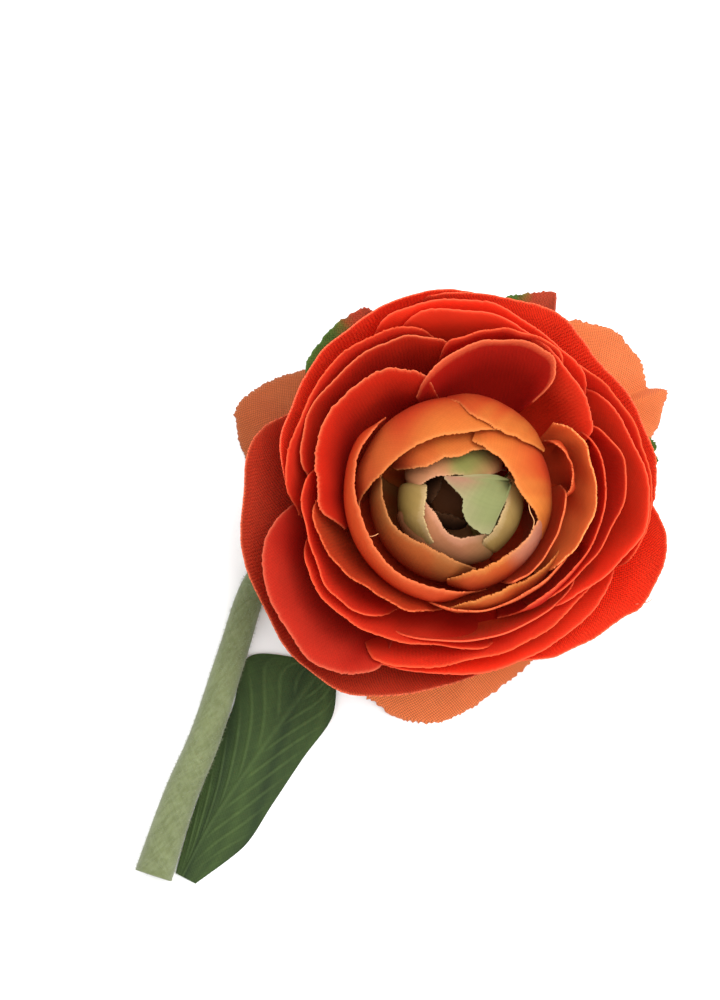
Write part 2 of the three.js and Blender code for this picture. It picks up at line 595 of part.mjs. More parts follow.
function leafGeometry() {
  const widths = LEAF_RIB.map((point, k) => [...point, LEAF_LEFT[k], LEAF_RIGHT[k]]);
  const pointAt = (u, v) => {
    const [x, y, z, left, right] = spline(widths, v);
    const [aheadX, aheadY] = spline(widths, Math.min(v + LEAF_STEP, 1));
    const [behindX, behindY] = spline(widths, Math.max(v - LEAF_STEP, 0));
    const along = new THREE.Vector2(aheadX - behindX, aheadY - behindY).normalize();
    const offset = u < 0 ? u * left : u * right;
    const droop = LEAF_DROOP * u * u * Math.sin(Math.PI * v);
    return new THREE.Vector3(x + along.y * offset, y - along.x * offset, z - droop);
  };
  return sheet(grid(...LEAF_SPANS, pointAt), LEAF_THICKNESS);
}

function named(name, geometry) {
  const looks = { color: COLOURS[name], roughness: ROUGHNESS, metalness: 0 };
  const material = new THREE.MeshStandardMaterial(looks);
  const mesh = new THREE.Mesh(geometry, material);
  mesh.name = name;
  return mesh;
}

const bloom = new THREE.Group();
bloom.position.z = ROOT_HEIGHT;
bloom.rotation.x = radians(BLOOM_TILT);
bloom.add(
  named("calyx", calyxGeometry()),
  named("petals_guard", guardGeometry()),
  named("petals_red", fuse(petalRing(RED_PETALS, RED_ROOT, RED_HUB, RED_ALONG))),
  named("petals_orange", fuse(petalRing(ORANGE_PETALS, ORANGE_ROOT, ORANGE_HUB, ORANGE_ALONG))),
  named("petals_heart", heartGeometry()),
);

const flower = new THREE.Group();
flower.position.set(ROOT_PLACE[0], ROOT_PLACE[1], 0);
flower.add(bloom, named("stem", stemGeometry()), named("leaf", leafGeometry()));

export default flower;
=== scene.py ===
"""The looks of a cut ranunculus of woven fabric that lies on its back, with its bent stem and a leaf.

The flower is worked out in millimetres about the root of its petals, with z along the bloom's
axis, and laid in the frame's place at the end. Every petal is a surface of two numbers: u from
-1 to 1 across it, and v from its root to its free edge.
"""

import math

import bpy
import numpy as np
from mathutils import Matrix, Vector


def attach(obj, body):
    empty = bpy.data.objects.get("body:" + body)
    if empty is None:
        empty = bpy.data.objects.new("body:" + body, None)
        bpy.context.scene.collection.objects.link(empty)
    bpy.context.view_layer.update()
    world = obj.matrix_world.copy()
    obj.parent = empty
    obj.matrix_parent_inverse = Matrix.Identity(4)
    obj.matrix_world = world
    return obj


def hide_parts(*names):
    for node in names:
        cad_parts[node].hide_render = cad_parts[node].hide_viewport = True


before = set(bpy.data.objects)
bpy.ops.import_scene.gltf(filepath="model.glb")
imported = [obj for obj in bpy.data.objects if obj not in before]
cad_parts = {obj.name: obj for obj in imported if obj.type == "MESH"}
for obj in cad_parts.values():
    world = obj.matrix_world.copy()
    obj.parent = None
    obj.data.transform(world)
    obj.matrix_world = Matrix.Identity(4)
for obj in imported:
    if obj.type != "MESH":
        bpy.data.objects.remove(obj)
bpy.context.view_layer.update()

MM = 0.001
ROOT_HEIGHT = 17.0  # the root of the petals above the surface
ROOT_PLACE = (8.36, 17.77)  # the root in plan
BLOOM_TILT = math.radians(10)
CALYX_DEPTH = 7.4
CALYX_RADIUS = 6.5
NECK_RADIUS = 2.7
SEAT_GAP = 0.3
CLOTH = 0.34  # thickness of a petal's cloth
SEPAL_THICKNESS = 0.5
LEAF_THICKNESS = 0.45
FLOCK_DEPTH = 0.12  # the stem's tube is this much thinner than its flock
FLOCK_HAIRS = 9000
SHARP = math.radians(50)  # an edge between faces that turn by more stays sharp
THREAD_PITCH = 0.46  # from one thread of the weave to the next that shows

GUARD_HUB_TOP = 2.2
GUARD_ROOT = 1.2
RED_ROOT = 3.6
ORANGE_ROOT = 11.4
HEART_ROOT = 18.4


def dye(code):
    """The linear colour of a dye given as six hexadecimal sRGB digits."""
    parts = np.array([int(code[i : i + 2], 16) / 255 for i in (0, 2, 4)])
    return np.where(parts <= 0.04045, parts / 12.92, ((parts + 0.055) / 1.055) ** 2.4)


def petal_dyes_and_painted_light(root, body, face, lip, rim, back):
    """The colours of a petal from its root to its free edge, the rolled lip's and the free edge's, and
    the one of its back. The root's is darker, a painted shade deep in the cup; the lip's and the
    edge's are lighter, painted highlights along the free edge."""
    return {"root": root, "body": body, "face": face, "lip": lip, "rim": rim, "back": back}


# Each family lists root, body, face, lip, rim and back: the darker root is painted shade deep in the cup, the
# lip and rim colours are painted highlights along the free edge.
RED = petal_dyes_and_painted_light("c81608", "d8200c", "d82e18", "e64a2a", "f07848", "dc3a1e")
# The red made darker for the upper petals whose inner faces turn from the lamps and lie under their lips:
# painted shade.
RED_PAINTED_SHADED = petal_dyes_and_painted_light("b81206", "c01808", "c4200f", "ea6840", "f09460", "d83014")
# The red made lighter for petals whose faces catch the lamps: painted light.
RED_PAINTED_LIT = petal_dyes_and_painted_light("d21c08", "e63010", "ee4420", "f65c3a", "fa7850", "ee4624")
# A still lighter red for the lower petal whose inner face lies in the crevice below the ball, lifting its
# shade: painted light.
RED_PAINTED_CREVICE_LIGHT = petal_dyes_and_painted_light("f03c14", "f44c20", "ee5430", "ec5c3a", "f47c50", "e84c2a")
EMBER = petal_dyes_and_painted_light("b41006", "b01608", "b01c0e", "bc4028", "e0805c", "cc3420")
RUST = petal_dyes_and_painted_light("982410", "b03018", "c03c22", "c84c2c", "d87850", "c03c20")
CORAL = petal_dyes_and_painted_light("b84420", "c8602c", "d87844", "dc8450", "e89464", "d87440")
TAWNY = petal_dyes_and_painted_light("9c4420", "ac5028", "b45c30", "bc7448", "cc9068", "b45c30")
FLAME = petal_dyes_and_painted_light("c82c08", "d0401a", "d8521f", "de6430", "ee8450", "cc4c20")
APRICOT = petal_dyes_and_painted_light("c42408", "cc3c14", "e46c30", "f89850", "f6a464", "f08440")
ORANGE = petal_dyes_and_painted_light("c03408", "c8401a", "c85c24", "cc7430", "e09450", "c86c2a")
AMBER = petal_dyes_and_painted_light("a83810", "c05820", "c86c2c", "cc7c38", "dc9858", "c86c2c")
# The orange made darker for the ball's lower-left petal, which lies in shade: painted shade.
ORANGE_PAINTED_SHADED = petal_dyes_and_painted_light("9c3c14", "ac4c1e", "b45c26", "b86a34", "cc8850", "bc622c")
GREEN = petal_dyes_and_painted_light("5c5c30", "7c8050", "868460", "8c8a60", "9e9a70", "8a865c")
PINK = petal_dyes_and_painted_light("7c5428", "a87046", "b07450", "c08464", "cc9c78", "bc8058")
OLIVE = petal_dyes_and_painted_light("6c5424", "9c8040", "a0844c", "b09462", "ccb084", "ac8c50")
# Near-black brown for the small petals deep in the heart's hole: painted shade of the hole.
BROWN_PAINTED_HOLE_SHADE = petal_dyes_and_painted_light("341a0a", "3c200e", "442612", "4c2c16", "5c3c24", "402410")

GUARD_PETALS = [
    dict(rim=[(126, 33), (136, 37.4), (141, 39.7), (145, 41.7), (149.5, 43.6), (154, 45.4), (157.5, 45.7),
              (163, 43.5), (168.5, 40.8), (176, 38), (184, 32)], low=-20.33, rise=7, dyes=TAWNY, fray=0.3),
    dict(rim=[(8, 37), (16, 42.5), (20, 45.9), (23.7, 48), (26, 49.4), (28.5, 46.4), (30.5, 46.9),
              (35.3, 48.1), (40, 48), (45, 47.9), (50, 45.6), (55.5, 43), (60, 36)], low=-21.12, rise=7,
         dyes=CORAL, fray=0.35),
    dict(rim=[(232, 33), (239, 40.9), (246.5, 41.7), (253.5, 43.1), (260, 44.1), (265.6, 44.1),
              (270.7, 43.3), (276, 41.7), (285, 38.7), (292.3, 37), (298, 35.7), (305, 34), (312, 28)],
         low=-9.49, rise=7, dyes=CORAL, fray=0.3),
]

RED_PETALS = [
    dict(rim=[(150, 33.5), (158, 36.8), (167, 37.9), (178, 38.3), (189, 39.3), (200, 40), (212, 40.2),
              (223, 41.4), (233, 40.8), (242, 39.9), (252, 37.4), (265, 34.5), (282, 32.8), (298, 31)],
         top=26, drop=4, close=80, corner=(0.1, 0.2), dyes=RUST),
    dict(rim=[(70, 36.8), (90, 37.4), (105, 37.1), (119.5, 36.5), (130, 35.9), (138, 35), (148, 33.8),
              (158, 33), (168, 31.6), (178, 30.3), (186, 29.6)], top=31, drop=5, close=82,
         corner=(0.1, 0.2), lip_highlight_band=3.4, dyes=RED_PAINTED_LIT),
    dict(rim=[(-14, 34.6), (-4, 36), (4, 36.9), (12, 37.3), (22, 36.6), (33, 35.9), (43, 35.5),
              (52, 36.4), (60, 37.7), (72, 37.3), (88, 37.6), (102, 37.2), (114, 35.6)], top=30, drop=5,
         close=80, lip=0.8, corner=(0.1, 0.1), lip_highlight_band=4, dyes=RED_PAINTED_LIT),
    dict(rim=[(-84, 31.6), (-71.4, 32.6), (-63.4, 32.9), (-56.5, 34.3), (-49.6, 35), (-42.6, 36),
              (-34.7, 37.2), (-29.7, 38.7), (-21.8, 39.7), (-14.9, 39.9), (-9.9, 39.2), (-5, 37.4),
              (3, 35.8), (12, 34.8)], top=27, drop=4, close=78, corner=(0.15, 0.2), lip_highlight_band=7,
         dyes=RED_PAINTED_LIT),
    dict(rim=[(222, 34.6), (240, 33.1), (256, 32.4), (272, 32.1), (290, 31.9), (306, 31.7), (322, 31.6),
              (336, 32.4), (348, 33.6)], top=29, drop=4, close=80, lip=1.2, corner=(0.5, 0.3),
         dyes=RED_PAINTED_LIT),
    dict(rim=[(-66, 26), (-53, 26.5), (-42, 27.4), (-33, 29), (-24, 31), (-16, 32.6), (-8, 33.9),
              (2, 34.1), (12, 33.7), (22, 32.9), (32, 32.4), (42, 31.9), (52, 30.4)],
         top=34, drop=4, close=84, lip=1, dyes=RED_PAINTED_LIT),
    dict(rim=[(-30, 32.3), (-20, 33.8), (-8, 35), (4, 35.2), (16, 34.6), (28, 33.7), (40, 33.4),
              (50, 32.8), (60, 31.4)], top=33, drop=4, close=84, lip=1.2, dyes=RED),
    dict(rim=[(28, 29), (42, 31.6), (57, 33), (70, 34.1), (84, 35), (98, 35.2), (112, 34.6), (124, 33.7)],
         top=35, drop=4, close=86, lip=1.7, lip_highlight_band=4, dyes=RED_PAINTED_LIT),
    dict(rim=[(18, 24.2), (24, 26.2), (30, 27.6), (39, 29.4), (52, 31), (65, 31.9), (79, 33), (92, 33.3),
              (106, 33.3), (120, 32.6)], top=36, drop=3, close=86, corner=(0.12, 0.3), lip=1.8, lip_highlight_band=4,
         dyes=RED_PAINTED_LIT),
    dict(rim=[(88, 28), (98, 30.2), (108, 31.5), (120, 32.6), (132, 32.6), (144, 32), (156, 31.5),
              (168, 30.6), (180, 29.8), (194, 29.2)], top=34, drop=4, close=86, lip=1, dyes=RED, fray=0.3),
    dict(rim=[(82, 25), (90, 26.8), (98, 28.6), (108, 30.6), (118, 30.9), (134, 30.4), (150, 30.4),
              (160, 28.8), (172, 27.2), (182, 25.2)], top=33, drop=4, close=84, lip=1.2, dyes=RED_PAINTED_SHADED),
    dict(rim=[(92, 19.4), (100, 21.4), (108, 23.2), (117, 25.4), (128, 27), (143, 27.4), (158, 26.9),
              (170, 25.4), (180, 24.4), (190, 23), (198, 21.6)], top=36, drop=3, close=84, lip=2.4,
         corner=(0.3, 0.14), dyes=RED_PAINTED_SHADED, fray=0.3),
    dict(rim=[(112, 20.2), (106, 21.7), (97, 24), (86, 26.9), (75, 29.5), (66, 30.6), (57, 30.2),
              (52, 28.5), (50, 25.8), (50, 23)], top=37, drop=3, close=84, lip=2.2, corner=(0.12, 0.1),
         lip_highlight_band=1.8, dyes=RED_PAINTED_SHADED),
    dict(rim=[(100, 25), (92, 27.6), (81, 30.2), (72, 31.6), (62, 31.8), (53, 31), (44, 28.8)],
         top=37, drop=4, close=88, lip=1, dyes=RED),
    dict(rim=[(-64, 24.1), (-52, 24.5), (-40, 25.1), (-30, 26), (-20, 27.4), (-10, 28.6), (0, 29.6),
              (10, 30.2), (17, 30), (24, 28.8), (31, 27), (38, 25)], top=35, drop=4, close=86, lip=0.3,
         dyes=RED),
    dict(rim=[(-74, 23.4), (-62, 23), (-50, 23.1), (-39, 23.6), (-28, 24.5), (-18, 25.5), (-8, 26.2),
              (4, 26.6), (14, 26.6), (22, 26.2), (29, 25), (36, 23.4)], top=36, drop=3, belly=(24.2, 26.8),
         level=True, dyes=RED, fray=0.3),
    dict(rim=[(178, 29.7), (186, 32.7), (196, 35.4), (206, 37.6), (218, 38.8), (228, 39.2), (236, 37.7),
              (242, 35.4), (247, 32.2), (249, 29)], top=32, drop=3, close=78, lip=1.8, corner=(0.2, 0.2),
         lip_highlight_band=4.5, dyes=EMBER),
    dict(rim=[(160, 25), (170, 26.6), (180, 27.6), (192, 27.7), (204, 27.2), (216, 27.6), (226, 27.1),
              (238, 25.3), (248, 23.8)], top=34, drop=3, close=87, lip=1, dyes=RED),
    dict(rim=[(184, 28.6), (196, 29.1), (208, 29.4), (220, 29.3), (232, 28.7), (244, 27.8), (258, 27.1),
              (272, 27.3), (286, 27.8), (300, 28)], top=33, drop=4, close=84, lip=1.4, corner=(0.3, 0.4),
         lip_highlight_band=8, dyes=RED),
    dict(rim=[(228, 33), (240, 32.6), (258, 30.8), (272, 29.7), (288, 29.3), (304, 28.8), (320, 28.5),
              (334, 28.9), (346, 29.8)], top=32, drop=4, close=82, lip=1.8, corner=(0.5, 0.3),
         lip_highlight_band=7, dyes=RED),
    dict(rim=[(232, 27.2), (246, 26.4), (260, 25.6), (276, 25.5), (292, 25.8), (308, 26.2), (324, 26.2),
              (338, 25.4)], top=34, drop=3, belly=26.6, lip=1.4, lip_highlight_band=9, dyes=RED_PAINTED_CREVICE_LIGHT),
    dict(rim=[(172, 25.6), (184, 25.2), (198, 25), (210, 24.4), (220, 23.2), (230, 22.2), (242, 21.4),
              (254, 21.1), (268, 21.6)], top=36, drop=2, close=89, lip=0.8, dyes=FLAME, fray=0.5),
]

ORANGE_PETALS = [
    dict(rim=[(-112, 18.8), (-98, 19.3), (-85, 20), (-70, 20.7), (-56, 20.8), (-42, 21.3), (-28, 22.3),
              (-14, 22.8)], top=36, drop=3, belly=(19.3, 23), dyes=FLAME, fray=0.3),
    dict(rim=[(-104, 19.6), (-92, 19.2), (-80, 18.6), (-68, 18.2), (-56, 18.4), (-44, 19.4), (-30, 20.7),
              (-16, 21.4)], top=37, drop=2, belly=(20.4, 21.6), dyes=ORANGE, fray=0.25),
    dict(rim=[(-46, 20.8), (-34, 21.8), (-22, 23), (-10, 23.7), (2, 24.4), (14, 24.8), (24, 24.8),
              (32, 24), (39, 22.4)], top=37, drop=3, close=84, corner=(0.2, 0.12), lip_highlight_band=4, dyes=APRICOT,
         fray=0.3),
    dict(rim=[(-2, 18.6), (7, 20.6), (16, 21.3), (25, 20.6), (34, 18.6)], top=36, drop=3, belly=21.4,
         level=True, dyes=FLAME, fray=0.25),
    dict(rim=[(-64, 17.4), (-52, 18), (-38, 18.6), (-20, 18.8), (-4, 19.2), (10, 19.6)], top=37.5, drop=2,
         belly=(18, 19.8), dyes=FLAME),
    dict(rim=[(124, 18.4), (134, 18.6), (146, 19), (158, 19), (170, 18.6), (182, 17.8), (196, 17.2),
              (212, 16.8), (228, 16.8), (244, 16.5), (262, 16.2), (280, 16.4), (296, 17.2)],
         top=38, drop=2, belly=(20.8, 18.6), dyes=FLAME, fray=0.25),
    dict(rim=[(191, 17.3), (182, 17.1), (173, 15.6), (164, 14), (150, 12.9), (130, 11.7), (108, 11.2),
              (88, 11.5), (70, 12.9), (54, 14.7), (40, 17), (28, 18)], top=42, drop=2, belly=18.1,
         corner=0.08, dyes=ORANGE, tint=("b42c10", -1, 1.2), streak=("dc8438", 0.5)),
    dict(rim=[(96, 17.3), (88, 16.7), (82, 15.1), (74, 14.2), (66, 13.9), (58, 14), (52, 14.4), (44, 15.2),
              (36, 16.1), (27, 17.5)], top=40.6, drop=2, belly=18.9, corner=0.06, dyes=ORANGE,
         tint=("bc2c10", -1, 0.85), streak=("dc8438", 0.4)),
    dict(rim=[(156, 11.2), (146, 9.1), (130, 7.5), (108, 7.4), (88, 7.4), (74, 8.4), (60, 9.8), (46, 11)],
         top=40.5, drop=1, belly=15, corner=0.08, dyes=AMBER, tint=("983410", -0.95, 0.6),
         streak=("cc5028", 0.3)),
    dict(rim=[(76, 10.4), (57, 9.8), (36, 10.1), (16, 10.5), (1, 11.8), (-12, 14.3), (-26, 17)],
         top=41.4, drop=1, belly=17.4, corner=0.03, dyes=ORANGE, streak=("e08c3c", 0.5)),
    dict(rim=[(156, 14), (166, 13.6), (180, 13), (194, 12.4), (210, 11.6), (226, 10.6), (240, 10),
              (258, 10.2), (274, 11.3), (288, 12.5)], top=39, drop=1, belly=15.2, corner=0.1, dyes=ORANGE_PAINTED_SHADED,
         streak=("8c6c38", 0.5)),
    dict(rim=[(262, 14), (284, 13), (304, 13.2), (320, 13.9), (338, 14.6), (358, 15.6)],
         top=39, drop=1, belly=17, corner=0.1, dyes=ORANGE, fray=0.25, tint=("cc8c70", 0.5, 0.7)),
]

HEART_PETALS = [
    dict(rim=[(172, 5.6), (181, 5.3), (190, 5.2), (204, 4.7), (218, 4.6), (233, 5.2), (248, 6), (262, 6.7),
              (276, 7.2), (290, 7.3), (305, 7.9), (318, 9), (330, 10.2)], top=37, drop=1,
         belly=(10.4, 12.8), dyes=PINK, tint=("7e7a46", 1, 0.6)),
    dict(rim=[(148, 6.4), (156, 5.6), (168, 5.4), (182, 5.4), (196, 5.8), (207, 6.3), (218, 7), (227, 7.7),
              (238, 8.4), (248, 9), (260, 9.8)], top=37.8, drop=1, belly=(9.9, 10.9), dyes=OLIVE),
    dict(rim=[(178, 8.4), (170, 7.3), (158, 6.5), (148, 6), (136, 5.2), (124, 4.7), (106, 4.2), (88, 4.1),
              (66, 4), (48, 4.8), (36, 6.6), (29, 8.8), (22, 10)], top=38.8, drop=1, belly=(9.8, 11.4),
         dyes=PINK, tint=("7c7c40", 0.3, 0.6)),
    dict(rim=[(-72, 9.4), (-58, 9), (-44, 8.8), (-26, 8.4), (-8, 8.4), (8, 8.8), (20, 9.4), (30, 10.2)],
         top=37, drop=1, belly=12.2, dyes=OLIVE),
    # Two small petals deep in the heart's hole, coloured near black: painted shade.
    dict(rim=[(96, 5.4), (120, 4.2), (146, 3.4), (174, 3.6), (202, 4.6)], top=33.5, drop=1, belly=6,
         dyes=BROWN_PAINTED_HOLE_SHADE),
    dict(rim=[(196, 5), (222, 3.8), (250, 3.2), (280, 3.6), (306, 5)], top=32.5, drop=1, belly=5.6,
         dyes=BROWN_PAINTED_HOLE_SHADE),
]

# The petal that folds over the heart like a tongue, its edge counted about its own root
TONGUE = dict(
    root=(9.8, 3),
    rim=[(160, 2.6), (167, 5), (173, 8), (175.5, 10.4), (176.5, 12.1), (181, 11.6), (186, 10.8), (192, 10),
         (198.5, 9.5), (204, 9.6), (209.5, 10.1), (217, 10.5), (224, 10.7), (235, 10.7), (242, 10.4),
         (246.5, 9.8), (247, 7.4), (248, 5), (252, 2.6)],
    dome_top=40.2, dome_centre=(1.6, -1.4), dome_fall=0.04, root_dip=3, root_share=0.3, dyes=GREEN,
    tint=("9c7058", -0.5, 0.5),
)

# Sepals spread behind the bloom, each with its edge seen along the axis like a petal's
SEPALS = [
    dict(rim=[(8, 37), (9.6, 39.2), (10.8, 39.7), (12.6, 39.2), (14.1, 39.8), (15.9, 39.6), (17.4, 38.7),
              (19, 36)], green=1.4),
    dict(rim=[(78, 36), (76, 38), (74.5, 39.3), (73, 40), (70.7, 40.8), (68.7, 41.6), (65.9, 42.6),
              (63.2, 43.5), (61.5, 41.2), (59.8, 38.6), (58.5, 36)], green=0.45),
    dict(rim=[(141, 34.8), (137.8, 36.9), (133.5, 37.8), (128.8, 38.6), (123.5, 39.4), (118.7, 39.5),
              (114.5, 39.4), (112.8, 38.2), (112, 35.5)], green=0.55),
    dict(rim=[(188, 30), (192, 33.4), (198, 35.4), (205, 36), (212, 35.4), (218, 33.2), (222, 30)],
         green=1.4),
    dict(rim=[(300, 29), (304, 32), (311, 34), (318, 34.6), (325, 34), (331, 32), (334, 29)],
         green=1.4),
]
SEPAL_SIDE = [(0.12, -3.4), (0.3, -3.8), (0.5, -2.2), (0.75, 3), (1, 9)]

STEM_ROUTE = [
    (-1.6, 2.6, 5.8, 2.7),
    (-8.6, 1.6, 3, 2.7),
    (-18, -1.6, 2.75, 2.7),
    (-29.5, -6.6, 2.75, 2.7),
    (-37.4, -14.4, 2.8, 2.8),
    (-42.1, -28.4, 3, 3),
    (-47.1, -44.4, 3.2, 3.2),
    (-52, -56.4, 3.4, 3.4),
    (-56.9, -71.5, 3.8, 3.8),
]

LEAF_RIB = [
    (-51.6, -71.6, 0.8),
    (-46.5, -62, 1.6),
    (-40.5, -53.1, 2.1),
    (-34.3, -44.3, 2.1),
    (-28.5, -36.5, 1.6),
    (-24.5, -31.2, 1),
]
LEAF_LEFT = (1.4, 3.8, 6.7, 9.5, 12.9, 2.5)
LEAF_RIGHT = (3, 7.8, 7.8, 7.5, 7.3, 3.5)


# Shapes ---------------------------------------------------------------------------------------


def spline(points, share):
    """A smooth curve through the points: between two of them a cubic whose slope at each point is
    half the step from the point before to the point after."""
    points = np.asarray(points, float)
    last = len(points) - 1
    place = np.clip(share, 0, 1) * last
    index = np.minimum(place.astype(int), last - 1)
    t = (place - index)[..., None]
    start, stop = points[index], points[index + 1]
    leave = (stop - points[np.maximum(index - 1, 0)]) / 2
    arrive = (points[np.minimum(index + 2, last)] - start) / 2
    cubic = 2 * start - 2 * stop + leave + arrive
    square = -3 * start + 3 * stop - 2 * leave - arrive
    return ((cubic * t + square) * t + leave) * t + start


def smooth(low, high, value):
    """0 below low, 1 above high, and a soft step between them."""
    t = np.clip((value - low) / (high - low), 0, 1)
    return t * t * (3 - 2 * t)


def grid(across, along, crowd=1.5):
    """u from -1 to 1 in every row, and v from 0 to 1 with its rows closer towards the free edge."""
    u = np.linspace(-1, 1, across + 1)
    v = 1 - (1 - np.linspace(0, 1, along + 1)) ** crowd
    return np.meshgrid(u, v)


def polar(angle, radius, height):
    """Points at these angles in degrees, radii and heights."""
    turn = np.radians(angle)
    return np.stack([radius * np.cos(turn), radius * np.sin(turn), height], axis=-1)


def opened(v, root_width, power):
    """How much of its full spread a petal has at v: root_width at the root, 1 at the edge."""
    return root_width + (1 - root_width) * v**power


def ripple(u, random, waves=(1.5, 3.2, 6.1)):
    """A sum of three sine waves across a petal with random phases, the shorter the lower."""
    total = np.zeros_like(u)
    for k, count in enumerate(waves):
        total += np.sin(math.pi * count * u + random.uniform(0, 2 * math.pi)) / (k + 1)
    return total


def by_end(values, u):
    """A row's number as it is, or a pair of them blended evenly from the first end to the last."""
    first, last = np.broadcast_to(values, 2)
    return first + (last - first) * (u + 1) / 2


def cupped_petal(row, root, u, v, random):
    """An elliptic side from the axis to the free edge: radius R sin(c v) / sin(c) and height
    (1 - cos(c v)) / (1 - cos(c)), where R is the edge's radius and c the closing angle, in the last
    term the middle's unless the edge is level. Both ends of the edge stop short, and so dive. A
    rolled lip bends the last quarter outward, and the whole waves more towards the edge."""
    start, root_width, rolled = 0.12, 0.6, 0.75
    rim = np.array(row["rim"], float)
    edge = spline(rim, (u + 1) / 2)
    angle, radius = edge[..., 0], edge[..., 1]
    middle = (rim[0, 0] + rim[-1, 0]) / 2

    def closing(value, side):
        if "belly" in row:
            return math.pi - np.arcsin(np.minimum(value / by_end(row["belly"], side), 1))
        return np.full_like(value, math.radians(row["close"]))

    turn = closing(radius, u)
    stop = 1 - by_end(row.get("corner", 0.26), u) * smooth(0.62, 1, np.abs(u)) ** 1.5
    v = (start + (1 - start) * v) * stop
    radius = radius * (1 + 0.7 * (np.sin(turn) / np.sin(turn * stop) - 1))
    middle_turn = closing(spline(rim, np.array([0.5]))[:, 1], np.zeros(1))
    lip = row.get("lip", 0) * (1 - 0.6 * u**4)
    roll = lip * np.maximum(0, (v - rolled) / (1 - rolled)) ** 2
    unrest = 0.12 if "belly" in row else 0.35
    wave = unrest * v**3 * ripple(u, random)
    out = (radius - lip) * np.sin(turn * v) / np.sin(turn) + roll + wave
    high = row["top"] - row["drop"] * np.abs(u) ** 3 - root
    edge_turn = turn if row.get("level") else middle_turn
    up = high * (1 - np.cos(turn * v)) / (1 - np.cos(edge_turn)) - roll / 2
    up += 0.6 * unrest * v**4 * ripple(u, random, (2.3, 4.4, 8.2))
    return polar(middle + (angle - middle) * opened(v, root_width, 0.7), out, root + up)


def guard_petal(row, u, v, random):
    """A petal that bends back: its radius grows evenly and its height falls as v to the 1.6, down
    to the surface at the middle of its edge, with shallow waves across it."""
    root_radius = 4
    rim = np.array(row["rim"], float)
    edge = spline(rim, (u + 1) / 2)
    middle = (rim[0, 0] + rim[-1, 0]) / 2
    foot = row["low"] + row["rise"] * u**2
    height = GUARD_ROOT + (foot - GUARD_ROOT) * v**1.6
    height += 0.5 * v * (1 - v) * ripple(u, random)
    out = root_radius + (edge[..., 1] - root_radius) * v
    return polar(middle + (edge[..., 0] - middle) * opened(v, 0.28, 1.4), out, height)


def tongue_petal(row, u, v, random):
    """A shallow dome over the heart, cut to the tongue's edge and dipping at its own root."""
    edge = spline(np.array(row["rim"], float), (u + 1) / 2)
    points = polar(edge[..., 0], edge[..., 1] * v, 0 * v)
    points[..., 0] += row["root"][0]
    points[..., 1] += row["root"][1]
    away = (points[..., 0] - row["dome_centre"][0]) ** 2 + (points[..., 1] - row["dome_centre"][1]) ** 2
    dip = row["root_dip"] * np.maximum(0, 1 - v / row["root_share"]) ** 2
    points[..., 2] = row["dome_top"] - row["dome_fall"] * away - dip + 0.12 * v * ripple(u, random)
    return points


def sepal(row, u, v, random):
    """A blade behind the bloom: its radius grows with v to its edge as its side says, and its
    height follows the side, with its two sides curled up a little."""
    rim = np.array(row["rim"], float)
    edge = spline(rim, (u + 1) / 2)
    middle = (rim[0, 0] + rim[-1, 0]) / 2
    side = spline(np.array(SEPAL_SIDE), v)
    curl = 1.2 * u**2 * v + 0.3 * v * ripple(u, random, (1, 2.2, 4))
    angle = middle + (edge[..., 0] - middle) * opened(v, 0.7, 1)
    return polar(angle, edge[..., 1] * side[..., 0], side[..., 1] + curl)


def leaf_blade(u, v):
    """The leaf: its midrib's spline, with each side as wide as its own spline says. The blade
    droops to its sides, and its veins stand up a little: a midrib and a fan of side veins."""
    rows = np.column_stack([LEAF_RIB, LEAF_LEFT, LEAF_RIGHT])
    rib = spline(rows, v)
    ahead, behind = spline(rows, np.minimum(v + 0.02, 1)), spline(rows, np.maximum(v - 0.02, 0))
    along = (ahead - behind)[..., :2]
    along /= np.linalg.norm(along, axis=-1, keepdims=True)
    offset = u * np.where(u < 0, rib[..., 3], rib[..., 4])
    height = rib[..., 2] - 1.5 * u**2 * np.sin(math.pi * v) + 0.25 * leaf_vein(u, v)
    x = rib[..., 0] + along[..., 1] * offset
    y = rib[..., 1] - along[..., 0] * offset
    return np.stack([x, y, height], axis=-1)


def leaf_vein(u, v):
    """1 on a vein and 0 between: the midrib, and side veins that leave it forward in a fan."""
    midrib = np.exp(-((u / 0.05) ** 2))
    fan = v * 8 - np.abs(u) * 3.4
    side = np.exp(-(((fan - np.round(fan)) / 0.1) ** 2)) * smooth(0.03, 0.2, np.abs(u))
    return np.maximum(0.6 * midrib, 0.8 * side * smooth(1, 0.6, np.abs(u)) * smooth(0.02, 0.2, v))


# Meshes ---------------------------------------------------------------------------------------


def lay_in_bloom(points):
    """From the bloom's own place to the frame: leans the axis and lifts the root."""
    turn = np.array(Matrix.Rotation(BLOOM_TILT, 3, "X"))
    return points @ turn.T + np.array([ROOT_PLACE[0], ROOT_PLACE[1], ROOT_HEIGHT])


def lay_on_surface(points):
    """From a place in plan about the root to the frame."""
    return points + np.array([ROOT_PLACE[0], ROOT_PLACE[1], 0])


def normals_of(points):
    """The unit normal at every point of a grid, from the steps along and across it."""
    along = np.gradient(points, axis=0)
    across = np.gradient(points, axis=1)
    normal = np.cross(across, along)
    return normal / np.maximum(np.linalg.norm(normal, axis=-1, keepdims=True), 1e-9)


def quads(rows, columns, first=0):
    """The four corners of every cell of a grid of points."""
    start = first + (np.arange(rows - 1)[:, None] * columns + np.arange(columns - 1)[None, :]).ravel()
    return np.stack([start, start + 1, start + columns + 1, start + columns], axis=1)


def rim_loop(rows, columns):
    """The points round the edge of a grid, in order."""
    index = np.arange(rows * columns).reshape(rows, columns)
    return np.concatenate([index[0, :-1], index[:-1, -1], index[-1, :0:-1], index[:0:-1, 0]])


